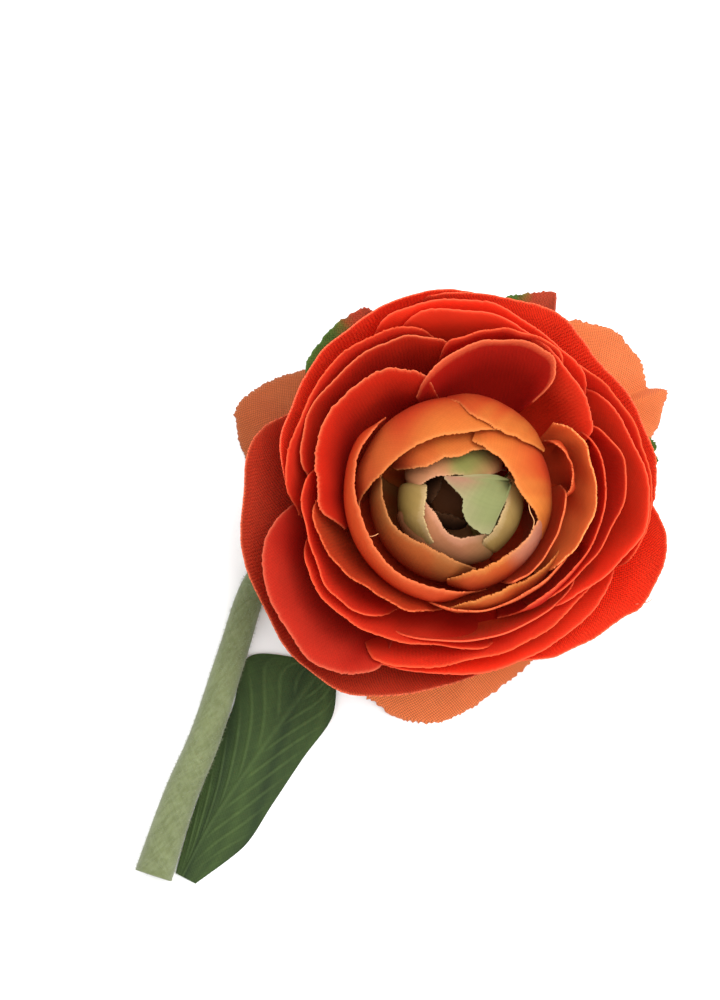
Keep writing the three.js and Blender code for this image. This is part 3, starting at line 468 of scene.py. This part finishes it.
def cloth_sheet(points, thickness, colours, cloth_uv):
    """A closed sheet about a grid of points: both faces lie half a thickness off along the
    normal, thinner at the very edge, and a strip joins them all round. colours are the front's
    and the back's."""
    rows, columns = points.shape[:2]
    thinning = np.ones((rows, columns))
    thinning[-1, :] = thinning[:, 0] = thinning[:, -1] = 0.55
    half = normals_of(points) * (thickness / 2 * thinning)[..., None]
    vertices = np.concatenate([(points + half).reshape(-1, 3), (points - half).reshape(-1, 3)])
    count = rows * columns
    front = quads(rows, columns)
    back = quads(rows, columns, count)[:, ::-1]
    loop = rim_loop(rows, columns)
    after = np.roll(loop, -1)
    strip = np.stack([loop, loop + count, after + count, after], axis=1)
    dyes = np.concatenate([colours[0].reshape(-1, 3), colours[1].reshape(-1, 3)])
    return vertices, [front, back, strip], dyes, np.tile(cloth_uv.reshape(-1, 2), (2, 1))


def flat_lengths(points):
    """Where each point of a grid lies on the flat cloth, in millimetres: across from the middle
    column, and along from the root."""
    steps_across = np.linalg.norm(np.diff(points, axis=1), axis=-1)
    steps_along = np.linalg.norm(np.diff(points, axis=0), axis=-1)
    across = np.pad(np.cumsum(steps_across, axis=1), ((0, 0), (1, 0)))
    across -= across[:, [points.shape[1] // 2]]
    along = np.pad(np.cumsum(steps_along, axis=0), ((1, 0), (0, 0)))
    return np.stack([across, along], axis=-1)


def frayed(points, amount, random):
    """Cuts the free edge unevenly: every column's last stretch is moved along the cloth by a
    random length, part of it shared with its neighbours."""
    columns = points.shape[1]
    shared = 13
    single = random.normal(0, 1, columns)
    broad = random.normal(0, 1, columns + shared - 1)
    broad = np.convolve(broad, np.ones(shared) / shared, "valid") * 2.6
    cut = amount * (0.55 * single + 0.8 * broad)
    cut = np.clip(cut, -2.2 * amount, 1.6 * amount)
    direction = points[-1] - points[-4]
    direction /= np.maximum(np.linalg.norm(direction, axis=-1, keepdims=True), 1e-9)
    moved = points.copy()
    for row, share in ((-1, 1.0), (-2, 0.75), (-3, 0.35)):
        moved[row] += direction * (cut * share)[:, None]
    return moved


def petal_colours(row, u, v, points, random):
    """The colour of a petal's two faces: root, body and face blend along it, the darker root a painted
    shade deep in the cup, with a slow unevenness across it, a pale strip some tenths of a millimetre
    wide along the free edge that is a painted highlight, and a brighter band along the free edge,
    wider on a rolled lip, that is a painted highlight too."""
    along = flat_lengths(points)[..., 1]
    left = along[-1][None, :] - along
    colour = {name: dye(code) for name, code in row["dyes"].items()}
    uneven = 0.06 * ripple(u * 1.3 + v, random, (1.1, 2.7, 4.3))
    # Painted shade: the darker root colour fades out towards the free edge.
    lower = smooth(0.1, 0.55, v + uneven)[..., None]
    upper = smooth(0.6, 1, v + uneven)[..., None]
    inner = colour["root"] * (1 - lower) + colour["body"] * lower
    inner = inner * (1 - upper) + colour["face"] * upper
    outer = colour["body"] * (1 - upper) + colour["back"] * upper
    # Painted highlight: a band of the lip colour along the free edge, wider on a rolled lip.
    width = row.get("lip_highlight_band", 1.2 + 1.2 * row.get("lip", 0)) * (1 + 0.2 * ripple(u, random))
    lip_highlight_band = (0.9 * smooth(1.35 * width, 0.6 * width, left) * (1 - u**6))[..., None]
    inner = inner * (1 - lip_highlight_band) + colour["lip"] * lip_highlight_band
    side = (0.55 * smooth(0.6, 1, np.abs(u)) * smooth(1.0, 0.9, v))[..., None]
    outer = outer * (1 - side) + colour["body"] * side
    if "streak" in row:
        code, share = row["streak"]
        run = (share * smooth(-0.8, 1.4, ripple(u + 0.3 * v, random, (0.9, 2.1, 5.3))))[..., None]
        inner, outer = (face * (1 - run) + dye(code) * run for face in (inner, outer))
    if "tint" in row:
        code, middle, reach = row["tint"]
        spot = (smooth(reach, 0, np.abs(u + uneven - middle)) * smooth(0.35, 0.8, v))[..., None]
        inner, outer = (face * (1 - spot) + dye(code) * spot for face in (inner, outer))
    # Painted highlight: a pale strip of the rim colour along the free edge.
    rim_width, rim_highlight_strength = 0.42, 0.48
    pale = (np.exp(-left / rim_width) * rim_highlight_strength)[..., None]
    return inner * (1 - pale) + colour["rim"] * pale, outer * (1 - pale) + colour["rim"] * pale


def outward(vertices, faces):
    """The faces, turned round if the solid that they close has a negative volume."""
    volume = 0
    for polygons in faces:
        for k in range(1, polygons.shape[1] - 1):
            corners = [vertices[polygons[:, i]] for i in (0, k, k + 1)]
            volume += np.einsum("ij,ij->", corners[0], np.cross(corners[1], corners[2]))
    return faces if volume > 0 else [polygons[:, ::-1] for polygons in faces]


def make_piece(name, solids, node, material):
    """One object from several closed solids, each (vertices in mm, faces, dyes, cloth uv)."""
    corners, sizes, first = [], [], 0
    for vertices, faces, _, _ in solids:
        for polygons in outward(vertices, faces):
            corners.append(polygons.ravel() + first)
            sizes.append(np.full(len(polygons), polygons.shape[1]))
        first += len(vertices)
    corners, sizes = np.concatenate(corners), np.concatenate(sizes)
    vertices = np.concatenate([solid[0] for solid in solids]) * MM
    mesh = bpy.data.meshes.new(name)
    mesh.vertices.add(len(vertices))
    mesh.vertices.foreach_set("co", vertices.astype(np.float32).ravel())
    mesh.loops.add(len(corners))
    mesh.loops.foreach_set("vertex_index", corners.astype(np.int32))
    mesh.polygons.add(len(sizes))
    mesh.polygons.foreach_set("loop_start", (np.cumsum(sizes) - sizes).astype(np.int32))
    mesh.update(calc_edges=True)
    mesh.polygons.foreach_set("use_smooth", np.ones(len(sizes), bool))
    # The per-point colour: each piece's own colours, and on the petals also their painted shade and painted
    # highlights.
    colour = mesh.color_attributes.new("dye", "FLOAT_COLOR", "POINT")
    rgba = np.column_stack([np.concatenate([solid[2] for solid in solids]), np.ones(len(vertices))])
    colour.data.foreach_set("color", rgba.astype(np.float32).ravel())
    layer = mesh.uv_layers.new(name="cloth")
    cloth_uv = np.concatenate([solid[3] for solid in solids])[corners]
    layer.data.foreach_set("uv", cloth_uv.astype(np.float32).ravel())
    mesh.set_sharp_from_angle(angle=SHARP)
    mesh.materials.append(material)
    mesh.validate()
    piece = bpy.data.objects.new(name, mesh)
    bpy.context.scene.collection.objects.link(piece)
    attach(piece, "root")
    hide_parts(node)


def petal_solid(row, surface, across, along, seed):
    """One finished petal: its surface, frayed edge, cloth and dye."""
    random = np.random.default_rng(seed)
    u, v = grid(across, along)
    points = surface(row, u, v, random)
    points = frayed(points, row.get("fray", 0.17), random)
    colours = petal_colours(row, u, v, points, random)
    cloth_uv = flat_lengths(points)
    return cloth_sheet(lay_in_bloom(points), CLOTH, colours, cloth_uv)


def thread_solid(route, colour):
    """A loose thread of the cloth: a thin tube with six sides along a smooth curve."""
    steps, sides, radius = 16, 6, 0.07
    centres = spline(route, np.linspace(0, 1, steps + 1))
    along = np.gradient(centres, axis=0)
    aside = np.cross(along, (0, 0, 1.0))
    aside /= np.linalg.norm(aside, axis=1, keepdims=True)
    other = np.cross(along, aside)
    other /= np.linalg.norm(other, axis=1, keepdims=True)
    turn = np.linspace(0, 2 * math.pi, sides, endpoint=False)[:, None]
    rings = centres[:, None] + radius * (np.cos(turn) * aside[:, None] + np.sin(turn) * other[:, None])
    vertices = np.concatenate([rings.reshape(-1, 3), centres[:1], centres[-1:]])
    dyes = np.tile(dye(colour), (len(vertices), 1))
    return lay_in_bloom(vertices), ring_tube((steps + 1, sides)), dyes, vertices[:, :2]


def ring_tube(rings):
    """The faces of a tube through rings of as many points each, with a fan over either end round
    an added middle point: the first end's point follows the rings' points, then the last end's."""
    rows, sides = rings
    index = np.arange(rows * sides).reshape(rows, sides)
    after = np.roll(index, -1, axis=1)
    walls = np.stack([index[:-1], after[:-1], after[1:], index[1:]], axis=-1).reshape(-1, 4)
    low, high = np.full(sides, rows * sides), np.full(sides, rows * sides + 1)
    base = np.stack([low, after[0], index[0]], axis=1)
    cap = np.stack([high, index[-1], after[-1]], axis=1)
    return [walls, base, cap]


def turned_solid(profile, sides, colour):
    """A solid of revolution about the bloom's axis: the profile's first and last points are its
    ends on the axis."""
    profile = np.array(profile, float)
    turn = np.linspace(0, 2 * math.pi, sides, endpoint=False)
    body = profile[1:-1]
    x = body[:, :1] * np.cos(turn)
    y = body[:, :1] * np.sin(turn)
    z = np.repeat(body[:, 1:], sides, axis=1)
    ends = [[0, 0, profile[0, 1]], [0, 0, profile[-1, 1]]]
    vertices = np.concatenate([np.stack([x, y, z], axis=-1).reshape(-1, 3), ends])
    dyes = np.tile(dye(colour), (len(vertices), 1))
    faces = ring_tube((len(body), sides))
    return lay_in_bloom(vertices), faces, dyes, vertices[:, :2]


def hub(bottom, top, radius, colour):
    """The small core that holds a ring of petals: a disc with bevelled rims."""
    bevel = 0.6
    profile = [(0, bottom), (radius - bevel, bottom), (radius, bottom + bevel), (radius, top - bevel),
               (radius - bevel, top), (0, top)]
    return turned_solid(profile, 48, colour)


def sepal_solid(row, seed):
    """One sepal of rough green cloth, whose tip has dried to rust."""
    random = np.random.default_rng(seed)
    u, v = grid(60, 90, 1.2)
    points = sepal(row, u, v, random)
    points = frayed(points, 0.22, random)
    spot = 0.35 * ripple(2 * u + 3 * v, random)
    green = dye("4c6c2a")[None, None] * (1 - 0.25 * smooth(-1, 1, spot))[..., None]
    tip = smooth(row["green"] - 0.1, row["green"] + 0.1, (u + 1) / 2 + 0.05 * spot)
    rust = (tip * smooth(0.75, 0.85, v))[..., None]
    colours = green * (1 - rust) + dye("9c3c24") * rust
    shaded = colours * 0.8
    return cloth_sheet(lay_in_bloom(points), SEPAL_THICKNESS, (colours, shaded), flat_lengths(points))


def leaf_solid():
    """The leaf's blade, dark green with paler veins and a pale back."""
    u, v = np.meshgrid(np.linspace(-1, 1, 161), np.linspace(0, 1, 201))
    points = leaf_blade(u, v)
    random = np.random.default_rng(510)
    vein = leaf_vein(u, v)[..., None]
    patch = 0.5 + 0.25 * ripple(u + 2 * v, random)[..., None]
    blade = dye("1e2e12") * (1 - patch) + dye("34461e") * patch
    colours = blade * (1 - 0.3 * vein) + dye("566a3a") * 0.3 * vein
    back = dye("7c9468") + 0 * blade
    return cloth_sheet(lay_on_surface(points), LEAF_THICKNESS, (colours, back), flat_lengths(points))


def stem_rings(steps, sides):
    """Rings of points round the stem's route: each ring's side direction is the last one's, made
    square to the route. The neck leaves the calyx along the bloom's axis."""
    neck = CALYX_DEPTH + SEAT_GAP
    start = (0, neck * math.sin(BLOOM_TILT), ROOT_HEIGHT - neck * math.cos(BLOOM_TILT), NECK_RADIUS)
    route = spline([start, *STEM_ROUTE], np.linspace(0, 1, steps + 1))
    centres, radii = route[:, :3], route[:, 3]
    along = np.gradient(centres, axis=0)
    along[0] = (0, math.sin(BLOOM_TILT), -math.cos(BLOOM_TILT))
    along /= np.linalg.norm(along, axis=1, keepdims=True)
    turn = np.linspace(0, 2 * math.pi, sides, endpoint=False)
    side = np.array([1.0, 0, 0])
    outs = []
    for direction in along:
        side = side - side.dot(direction) * direction
        side /= np.linalg.norm(side)
        other = np.cross(direction, side)
        outs.append(np.cos(turn)[:, None] * side + np.sin(turn)[:, None] * other)
    return centres, radii, along, np.array(outs)


def stem_dye(share, random):
    """The stem's green, darker where it leaves the calyx."""
    dark = smooth(0.22, 0.02, share)[..., None]
    pale = 0.5 + 0.5 * random.uniform(-1, 1, share.shape)[..., None]
    green = dye("5e6642") * (1 - pale) + dye("6c7452") * pale
    return green * (1 - dark) + dye("3c4c30") * dark


def stem_solid(steps, sides):
    """The stem under its flock: a tapered tube."""
    centres, radii, _, outs = stem_rings(steps, sides)
    points = centres[:, None] + outs * (radii[:, None, None] - FLOCK_DEPTH)
    vertices = np.concatenate([points.reshape(-1, 3), centres[:1], centres[-1:]])
    share = np.repeat(np.linspace(0, 1, steps + 1), sides)
    dyes = stem_dye(np.append(share, (0, 1)), np.random.default_rng(520))
    around = np.tile(np.arange(sides), steps + 1) * 0.4
    cloth_uv = np.column_stack([np.append(around, (0, 0)), np.append(share, (0, 1)) * 100])
    return lay_on_surface(vertices), ring_tube((steps + 1, sides)), dyes, cloth_uv


def flock(count):
    """The stem's flock: short hairs, each a spike with three sides, that stand out from the
    stem and lean a random way."""
    random = np.random.default_rng(530)
    rings, spokes = 400, 64
    centres, radii, along, outs = stem_rings(rings, spokes)
    ring = random.integers(1, rings, count)
    spoke = random.integers(0, spokes, count)
    out = outs[ring, spoke]
    direction = out + random.normal(0, 0.5, (count, 3))
    direction /= np.linalg.norm(direction, axis=1, keepdims=True)
    direction[:, 2] = np.maximum(direction[:, 2], -0.3)
    start = centres[ring] + out * (radii[ring, None] - 0.2)
    length = random.uniform(0.35, 0.75, (count, 1))
    tip = start + direction * length
    tip[:, 2] = np.maximum(tip[:, 2], 0.05)
    aside = np.cross(direction, along[ring])
    aside /= np.maximum(np.linalg.norm(aside, axis=1, keepdims=True), 1e-6)
    other = np.cross(direction, aside)
    thick = 0.035
    corners = [
        start + thick * (math.cos(turn) * aside + math.sin(turn) * other)
        for turn in (0, 2 * math.pi / 3, 4 * math.pi / 3)
    ]
    vertices = np.stack([*corners, tip], axis=1).reshape(-1, 3)
    spike = ([0, 1, 3], [1, 2, 3], [2, 0, 3], [0, 2, 1])
    faces = np.concatenate([4 * np.arange(count)[:, None] + np.array(face) for face in spike])
    # The hairs are mixed with a pale grey-green: painted sheen along the stem's edges.
    dyes = np.repeat(0.7 * stem_dye(ring / rings, random) + 0.3 * dye("b4b8a0"), 4, axis=0)
    return lay_on_surface(vertices), [faces], dyes, np.zeros((4 * count, 2))


# Materials ------------------------------------------------------------------------------------


def add(tree, kind, **values):
    """A node of that kind with these properties set, and its inputs named in `inputs`."""
    node = tree.nodes.new(kind)
    for name, value in values.pop("inputs", {}).items():
        node.inputs[name].default_value = value
    for name, value in values.items():
        setattr(node, name, value)
    return node


def maths(tree, operation, first, second=None):
    """A Math node: each argument is a socket or a number."""
    node = tree.nodes.new("ShaderNodeMath")
    node.operation = operation
    for k, value in enumerate((first, second)):
        if value is None:
            continue
        if isinstance(value, (int, float)):
            node.inputs[k].default_value = value
        else:
            tree.links.new(value, node.inputs[k])
    return node.outputs[0]


def weave_group():
    """Plain-woven cloth, shared by every fabric. It turns the cloth's own coordinates onto the bias,
    lays warp over weft in a checker of rounded threads, and makes some threads darker or lighter than
    others. It gives the dye's colour with painted shade where a thread sinks under another and a
    painted highlight on its crown, and the threads' height."""
    group = bpy.data.node_groups.new("woven cloth", "ShaderNodeTree")
    face = group.interface
    face.new_socket("Dye", in_out="INPUT", socket_type="NodeSocketColor")
    face.new_socket("Pitch", in_out="INPUT", socket_type="NodeSocketFloat")
    face.new_socket("Thread Shading", in_out="INPUT", socket_type="NodeSocketFloat")
    face.new_socket("Unevenness", in_out="INPUT", socket_type="NodeSocketFloat")
    face.new_socket("Color", in_out="OUTPUT", socket_type="NodeSocketColor")
    face.new_socket("Height", in_out="OUTPUT", socket_type="NodeSocketFloat")
    source = add(group, "NodeGroupInput")
    result = add(group, "NodeGroupOutput")
    uv = add(group, "ShaderNodeUVMap", uv_map="cloth")
    bias = math.radians(38)
    turned = add(group, "ShaderNodeVectorRotate", rotation_type="Z_AXIS", inputs={"Angle": bias})
    link = group.links.new
    link(uv.outputs[0], turned.inputs["Vector"])
    wander = add(group, "ShaderNodeTexNoise", inputs={"Scale": 0.35, "Detail": 2.0})
    link(uv.outputs[0], wander.inputs["Vector"])
    split = add(group, "ShaderNodeSeparateXYZ")
    link(turned.outputs[0], split.inputs[0])
    drift = maths(group, "MULTIPLY", maths(group, "SUBTRACT", wander.outputs["Fac"], 0.5), 0.6)
    warp = maths(group, "DIVIDE", maths(group, "ADD", split.outputs[0], drift), source.outputs["Pitch"])
    weft = maths(group, "DIVIDE", maths(group, "ADD", split.outputs[1], drift), source.outputs["Pitch"])
    ridge_warp = maths(group, "ABSOLUTE", maths(group, "SINE", maths(group, "MULTIPLY", warp, math.pi)))
    ridge_weft = maths(group, "ABSOLUTE", maths(group, "SINE", maths(group, "MULTIPLY", weft, math.pi)))
    cells = maths(group, "ADD", maths(group, "FLOOR", warp), maths(group, "FLOOR", weft))
    over = maths(group, "PINGPONG", cells, 1.0)
    height = add(group, "ShaderNodeMix", data_type="FLOAT")
    link(over, height.inputs[0])
    link(ridge_warp, height.inputs[2])
    link(ridge_weft, height.inputs[3])
    thread = add(group, "ShaderNodeTexWhiteNoise", noise_dimensions="1D")
    link(maths(group, "FLOOR", warp), thread.inputs["W"])
    cross = add(group, "ShaderNodeTexWhiteNoise", noise_dimensions="1D")
    link(maths(group, "FLOOR", maths(group, "ADD", weft, 0.5)), cross.inputs["W"])
    slub = maths(group, "ADD", thread.outputs["Value"], cross.outputs["Value"])
    slub = maths(group, "MULTIPLY", maths(group, "SUBTRACT", slub, 1.0), 0.35)
    cloud = add(group, "ShaderNodeTexNoise", inputs={"Scale": 0.16, "Detail": 3.0, "Roughness": 0.6})
    link(uv.outputs[0], cloud.inputs["Vector"])
    cloudy = maths(group, "MULTIPLY", maths(group, "SUBTRACT", cloud.outputs["Fac"], 0.5), 2.0)
    uneven = maths(group, "MULTIPLY", maths(group, "ADD", slub, cloudy), source.outputs["Unevenness"])
    # Painted shade and highlight: the colour darkens where a thread sinks under another and lightens on its
    # crown.
    mean_height = 0.64
    painted_thread_shade = maths(group, "SUBTRACT", height.outputs[0], mean_height)
    painted_thread_shade = maths(group, "MULTIPLY", painted_thread_shade, source.outputs["Thread Shading"])
    level = maths(group, "ADD", maths(group, "ADD", painted_thread_shade, uneven), 1.0)
    shade = add(group, "ShaderNodeVectorMath", operation="SCALE")
    link(source.outputs["Dye"], shade.inputs[0])
    link(level, shade.inputs["Scale"])
    link(shade.outputs[0], result.inputs["Color"])
    link(height.outputs[0], result.inputs["Height"])
    return group


def cloth(name, thread_shading, unevenness, bump, through, sheen=0.0, roughness=0.75, pitch=THREAD_PITCH):
    """Thin dyed cloth: the shared weave on a rough sheet, through which part of the light passes."""
    material = bpy.data.materials.new(name)
    material.use_nodes = True
    tree = material.node_tree
    tree.nodes.clear()
    link = tree.links.new
    colour = add(tree, "ShaderNodeVertexColor", layer_name="dye")
    weave = add(tree, "ShaderNodeGroup", node_tree=WEAVE)
    weave.inputs["Pitch"].default_value = pitch
    weave.inputs["Thread Shading"].default_value = thread_shading
    weave.inputs["Unevenness"].default_value = unevenness
    link(colour.outputs["Color"], weave.inputs["Dye"])
    rough = add(tree, "ShaderNodeBump", inputs={"Strength": bump, "Distance": 0.00012})
    link(weave.outputs["Height"], rough.inputs["Height"])
    surface = add(tree, "ShaderNodeBsdfPrincipled", inputs={"Roughness": roughness, "Sheen Weight": sheen,
                  "Sheen Roughness": 0.45, "Specular IOR Level": 0.25})
    link(weave.outputs["Color"], surface.inputs["Base Color"])
    link(rough.outputs[0], surface.inputs["Normal"])
    glow = add(tree, "ShaderNodeBsdfTranslucent")
    link(weave.outputs["Color"], glow.inputs["Color"])
    mix = add(tree, "ShaderNodeMixShader", inputs={0: through})
    link(surface.outputs[0], mix.inputs[1])
    link(glow.outputs[0], mix.inputs[2])
    result = add(tree, "ShaderNodeOutputMaterial")
    link(mix.outputs[0], result.inputs["Surface"])
    return material


WEAVE = weave_group()
RED_CLOTH = cloth("red cloth", 0.16, 0.08, 0.3, 0.48)
GUARD_CLOTH = cloth("guard cloth", 0.9, 0.12, 0.6, 0.35)
OUTER_CLOTH = cloth("outer red cloth", 0.8, 0.12, 0.7, 0.35)
ORANGE_CLOTH = cloth("orange cloth", 0.1, 0.1, 0.15, 0.36)
HEART_CLOTH = cloth("heart cloth", 0.03, 0.12, 0.04, 0.3)
SEPAL_CLOTH = cloth("sepal cloth", 0.45, 0.25, 0.6, 0.1)
LEAF_CLOTH = cloth("leaf cloth", 0.14, 0.25, 0.4, 0.08)
FLOCK = cloth("stem flock", 0.1, 0.3, 0.3, 0.0, sheen=0.2, roughness=0.9, pitch=0.2)


# Pieces ---------------------------------------------------------------------------------------


def ring_of_petals(name, rows, root, node, material, seed, more=(), across=150, along=30):
    """Several cupped petals of one ring as one object, with the core that holds them or the loose
    threads that hang from them."""

    def surface(row, u, v, random):
        return cupped_petal(row, root, u, v, random)

    petals = [petal_solid(row, surface, across, along, seed + k) for k, row in enumerate(rows)]
    make_piece(name, [*more, *petals], node, material)


RED_CORE = hub(GUARD_HUB_TOP + SEAT_GAP, 7.4, 8.6, "6a0c06")
ORANGE_CORE = hub(7.4 + SEAT_GAP, 14.8, 6.6, "8a2008")
# The heart's core is dark brown where it shows in the heart's hole: painted shade.
HEART_CORE = hub(14.8 + SEAT_GAP, 23, 4.3, "6c3c1c")
GUARD_CORE = hub(SEAT_GAP, GUARD_HUB_TOP, 7, "a84828")
RED_THREAD = thread_solid([(32.9, -19.3, 25.6), (33.9, -19.1, 26), (35, -18.9, 26.3), (35.9, -18.3, 26.2)],
                          "e88060")
LEFT_THREAD = thread_solid([(-15.9, -6.6, 36.4), (-15.2, -6.8, 36.9), (-14.4, -6.6, 37), (-13.9, -6.3, 36.8)],
                           "e8a870")
RIGHT_THREAD = thread_solid([(12.6, -1, 38.6), (12.8, -2.4, 39.2), (13.5, -4, 39.3), (13.3, -5.4, 38.8)],
                            "e8b078")
ring_of_petals("red_petals_outermost", RED_PETALS[:4], RED_ROOT, "petals_red", OUTER_CLOTH, 100,
               [RED_CORE, RED_THREAD])
ring_of_petals("red_petals_outer", RED_PETALS[4:8], RED_ROOT, "petals_red", RED_CLOTH, 110)
ring_of_petals("red_petals_middle", RED_PETALS[8:15], RED_ROOT, "petals_red", RED_CLOTH, 120)
ring_of_petals("red_petals_inner", RED_PETALS[15:], RED_ROOT, "petals_red", RED_CLOTH, 140)
ring_of_petals("orange_petals_outer", ORANGE_PETALS[:5], ORANGE_ROOT, "petals_orange",
               ORANGE_CLOTH, 200, [ORANGE_CORE])
ring_of_petals("orange_petals_ball", ORANGE_PETALS[5:], ORANGE_ROOT, "petals_orange",
               ORANGE_CLOTH, 220, [LEFT_THREAD, RIGHT_THREAD])
tongue = petal_solid(TONGUE, tongue_petal, 100, 60, 340)
ring_of_petals("heart_petals", HEART_PETALS, HEART_ROOT, "petals_heart", HEART_CLOTH, 300,
               [HEART_CORE, tongue], across=120, along=36)
guards = [petal_solid(row, guard_petal, 150, 60, 400 + k) for k, row in enumerate(GUARD_PETALS)]
make_piece("guard_petals", [GUARD_CORE, *guards], "petals_guard", GUARD_CLOTH)
CUP_OUTLINE = [(0, -CALYX_DEPTH), (NECK_RADIUS, -CALYX_DEPTH), (NECK_RADIUS + 1.2, -CALYX_DEPTH + 2),
               (CALYX_RADIUS - 0.6, -CALYX_DEPTH + 4.2), (CALYX_RADIUS, -1), (CALYX_RADIUS - 0.6, 0), (0, 0)]
cup = turned_solid(CUP_OUTLINE, 48, "46602a")
sepals = [sepal_solid(row, 500 + k) for k, row in enumerate(SEPALS)]
make_piece("calyx_sepals", [cup, *sepals], "calyx", SEPAL_CLOTH)
make_piece("stem_tube", [stem_solid(220, 48)], "stem", FLOCK)
make_piece("stem_hairs", [flock(FLOCK_HAIRS)], "stem", FLOCK)
make_piece("leaf_blade", [leaf_solid()], "leaf", LEAF_CLOTH)


# Floor, light and camera ----------------------------------------------------------------------

ROOT = Vector((ROOT_PLACE[0] * MM, ROOT_PLACE[1] * MM, ROOT_HEIGHT * MM))
ACROSS = Vector((1, 0, 0))
UPWARD = Vector((0, math.cos(BLOOM_TILT), math.sin(BLOOM_TILT)))
OUTWARD = Vector((0, -math.sin(BLOOM_TILT), math.cos(BLOOM_TILT)))


def in_bloom(x, y, z):
    """A point in the frame, in metres, from millimetres about the bloom's root."""
    return ROOT + ACROSS * (x * MM) + UPWARD * (y * MM) + OUTWARD * (z * MM)


def make_floor():
    """A plain pale floor."""
    mesh = bpy.data.meshes.new("floor")
    reach = 3.0
    corners = [(-reach, -reach, 0), (reach, -reach, 0), (reach, reach, 0), (-reach, reach, 0)]
    mesh.from_pydata(corners, [], [(0, 1, 2, 3)])
    material = bpy.data.materials.new("pale floor")
    material.use_nodes = True
    shader = material.node_tree.nodes["Principled BSDF"]
    shader.inputs["Base Color"].default_value = (0.9, 0.9, 0.9, 1)
    shader.inputs["Roughness"].default_value = 0.9
    mesh.materials.append(material)
    floor = bpy.data.objects.new("floor", mesh)
    bpy.context.scene.collection.objects.link(floor)


def make_light(name, place, power, size):
    """A soft, white, square lamp that looks at the bloom."""
    lamp = bpy.data.lights.new(name, "AREA")
    lamp.energy = power
    lamp.size = size
    holder = bpy.data.objects.new(name, lamp)
    bpy.context.scene.collection.objects.link(holder)
    holder.location = place
    holder.rotation_euler = (ROOT - Vector(place)).to_track_quat("-Z", "Y").to_euler()


def make_world(strength):
    """Even white light from all round."""
    world = bpy.data.worlds.new("studio")
    world.use_nodes = True
    background = world.node_tree.nodes["Background"]
    background.inputs["Color"].default_value = (1, 1, 1, 1)
    background.inputs["Strength"].default_value = strength
    bpy.context.scene.world = world


def make_camera():
    """Looks along the bloom's axis, so that the bloom faces it as it does in the photograph."""
    picture_height, sensor = 1000, 36.0
    edge_height = 34.0  # the petals' free edges, in front of the root
    distance = 456.0
    millimetres_per_pixel = 0.178
    aside, above = -17.1, -0.36  # the picture's middle, from the bloom's axis
    camera = bpy.data.cameras.new("camera")
    camera.sensor_width = sensor
    camera.lens = (distance - edge_height) * sensor / (picture_height * millimetres_per_pixel)
    holder = bpy.data.objects.new("camera", camera)
    bpy.context.scene.collection.objects.link(holder)
    turn = Matrix((ACROSS, UPWARD, OUTWARD)).transposed()
    holder.matrix_world = Matrix.Translation(in_bloom(aside, above, distance)) @ turn.to_4x4()
    bpy.context.scene.camera = holder
    bpy.context.scene.view_settings.view_transform = "Standard"


make_floor()
make_light("key light", in_bloom(60, 130, 430), 1.85, 0.26)
make_light("fill light", in_bloom(110, -40, 440), 1.1, 0.3)
make_world(1.12)
make_camera()
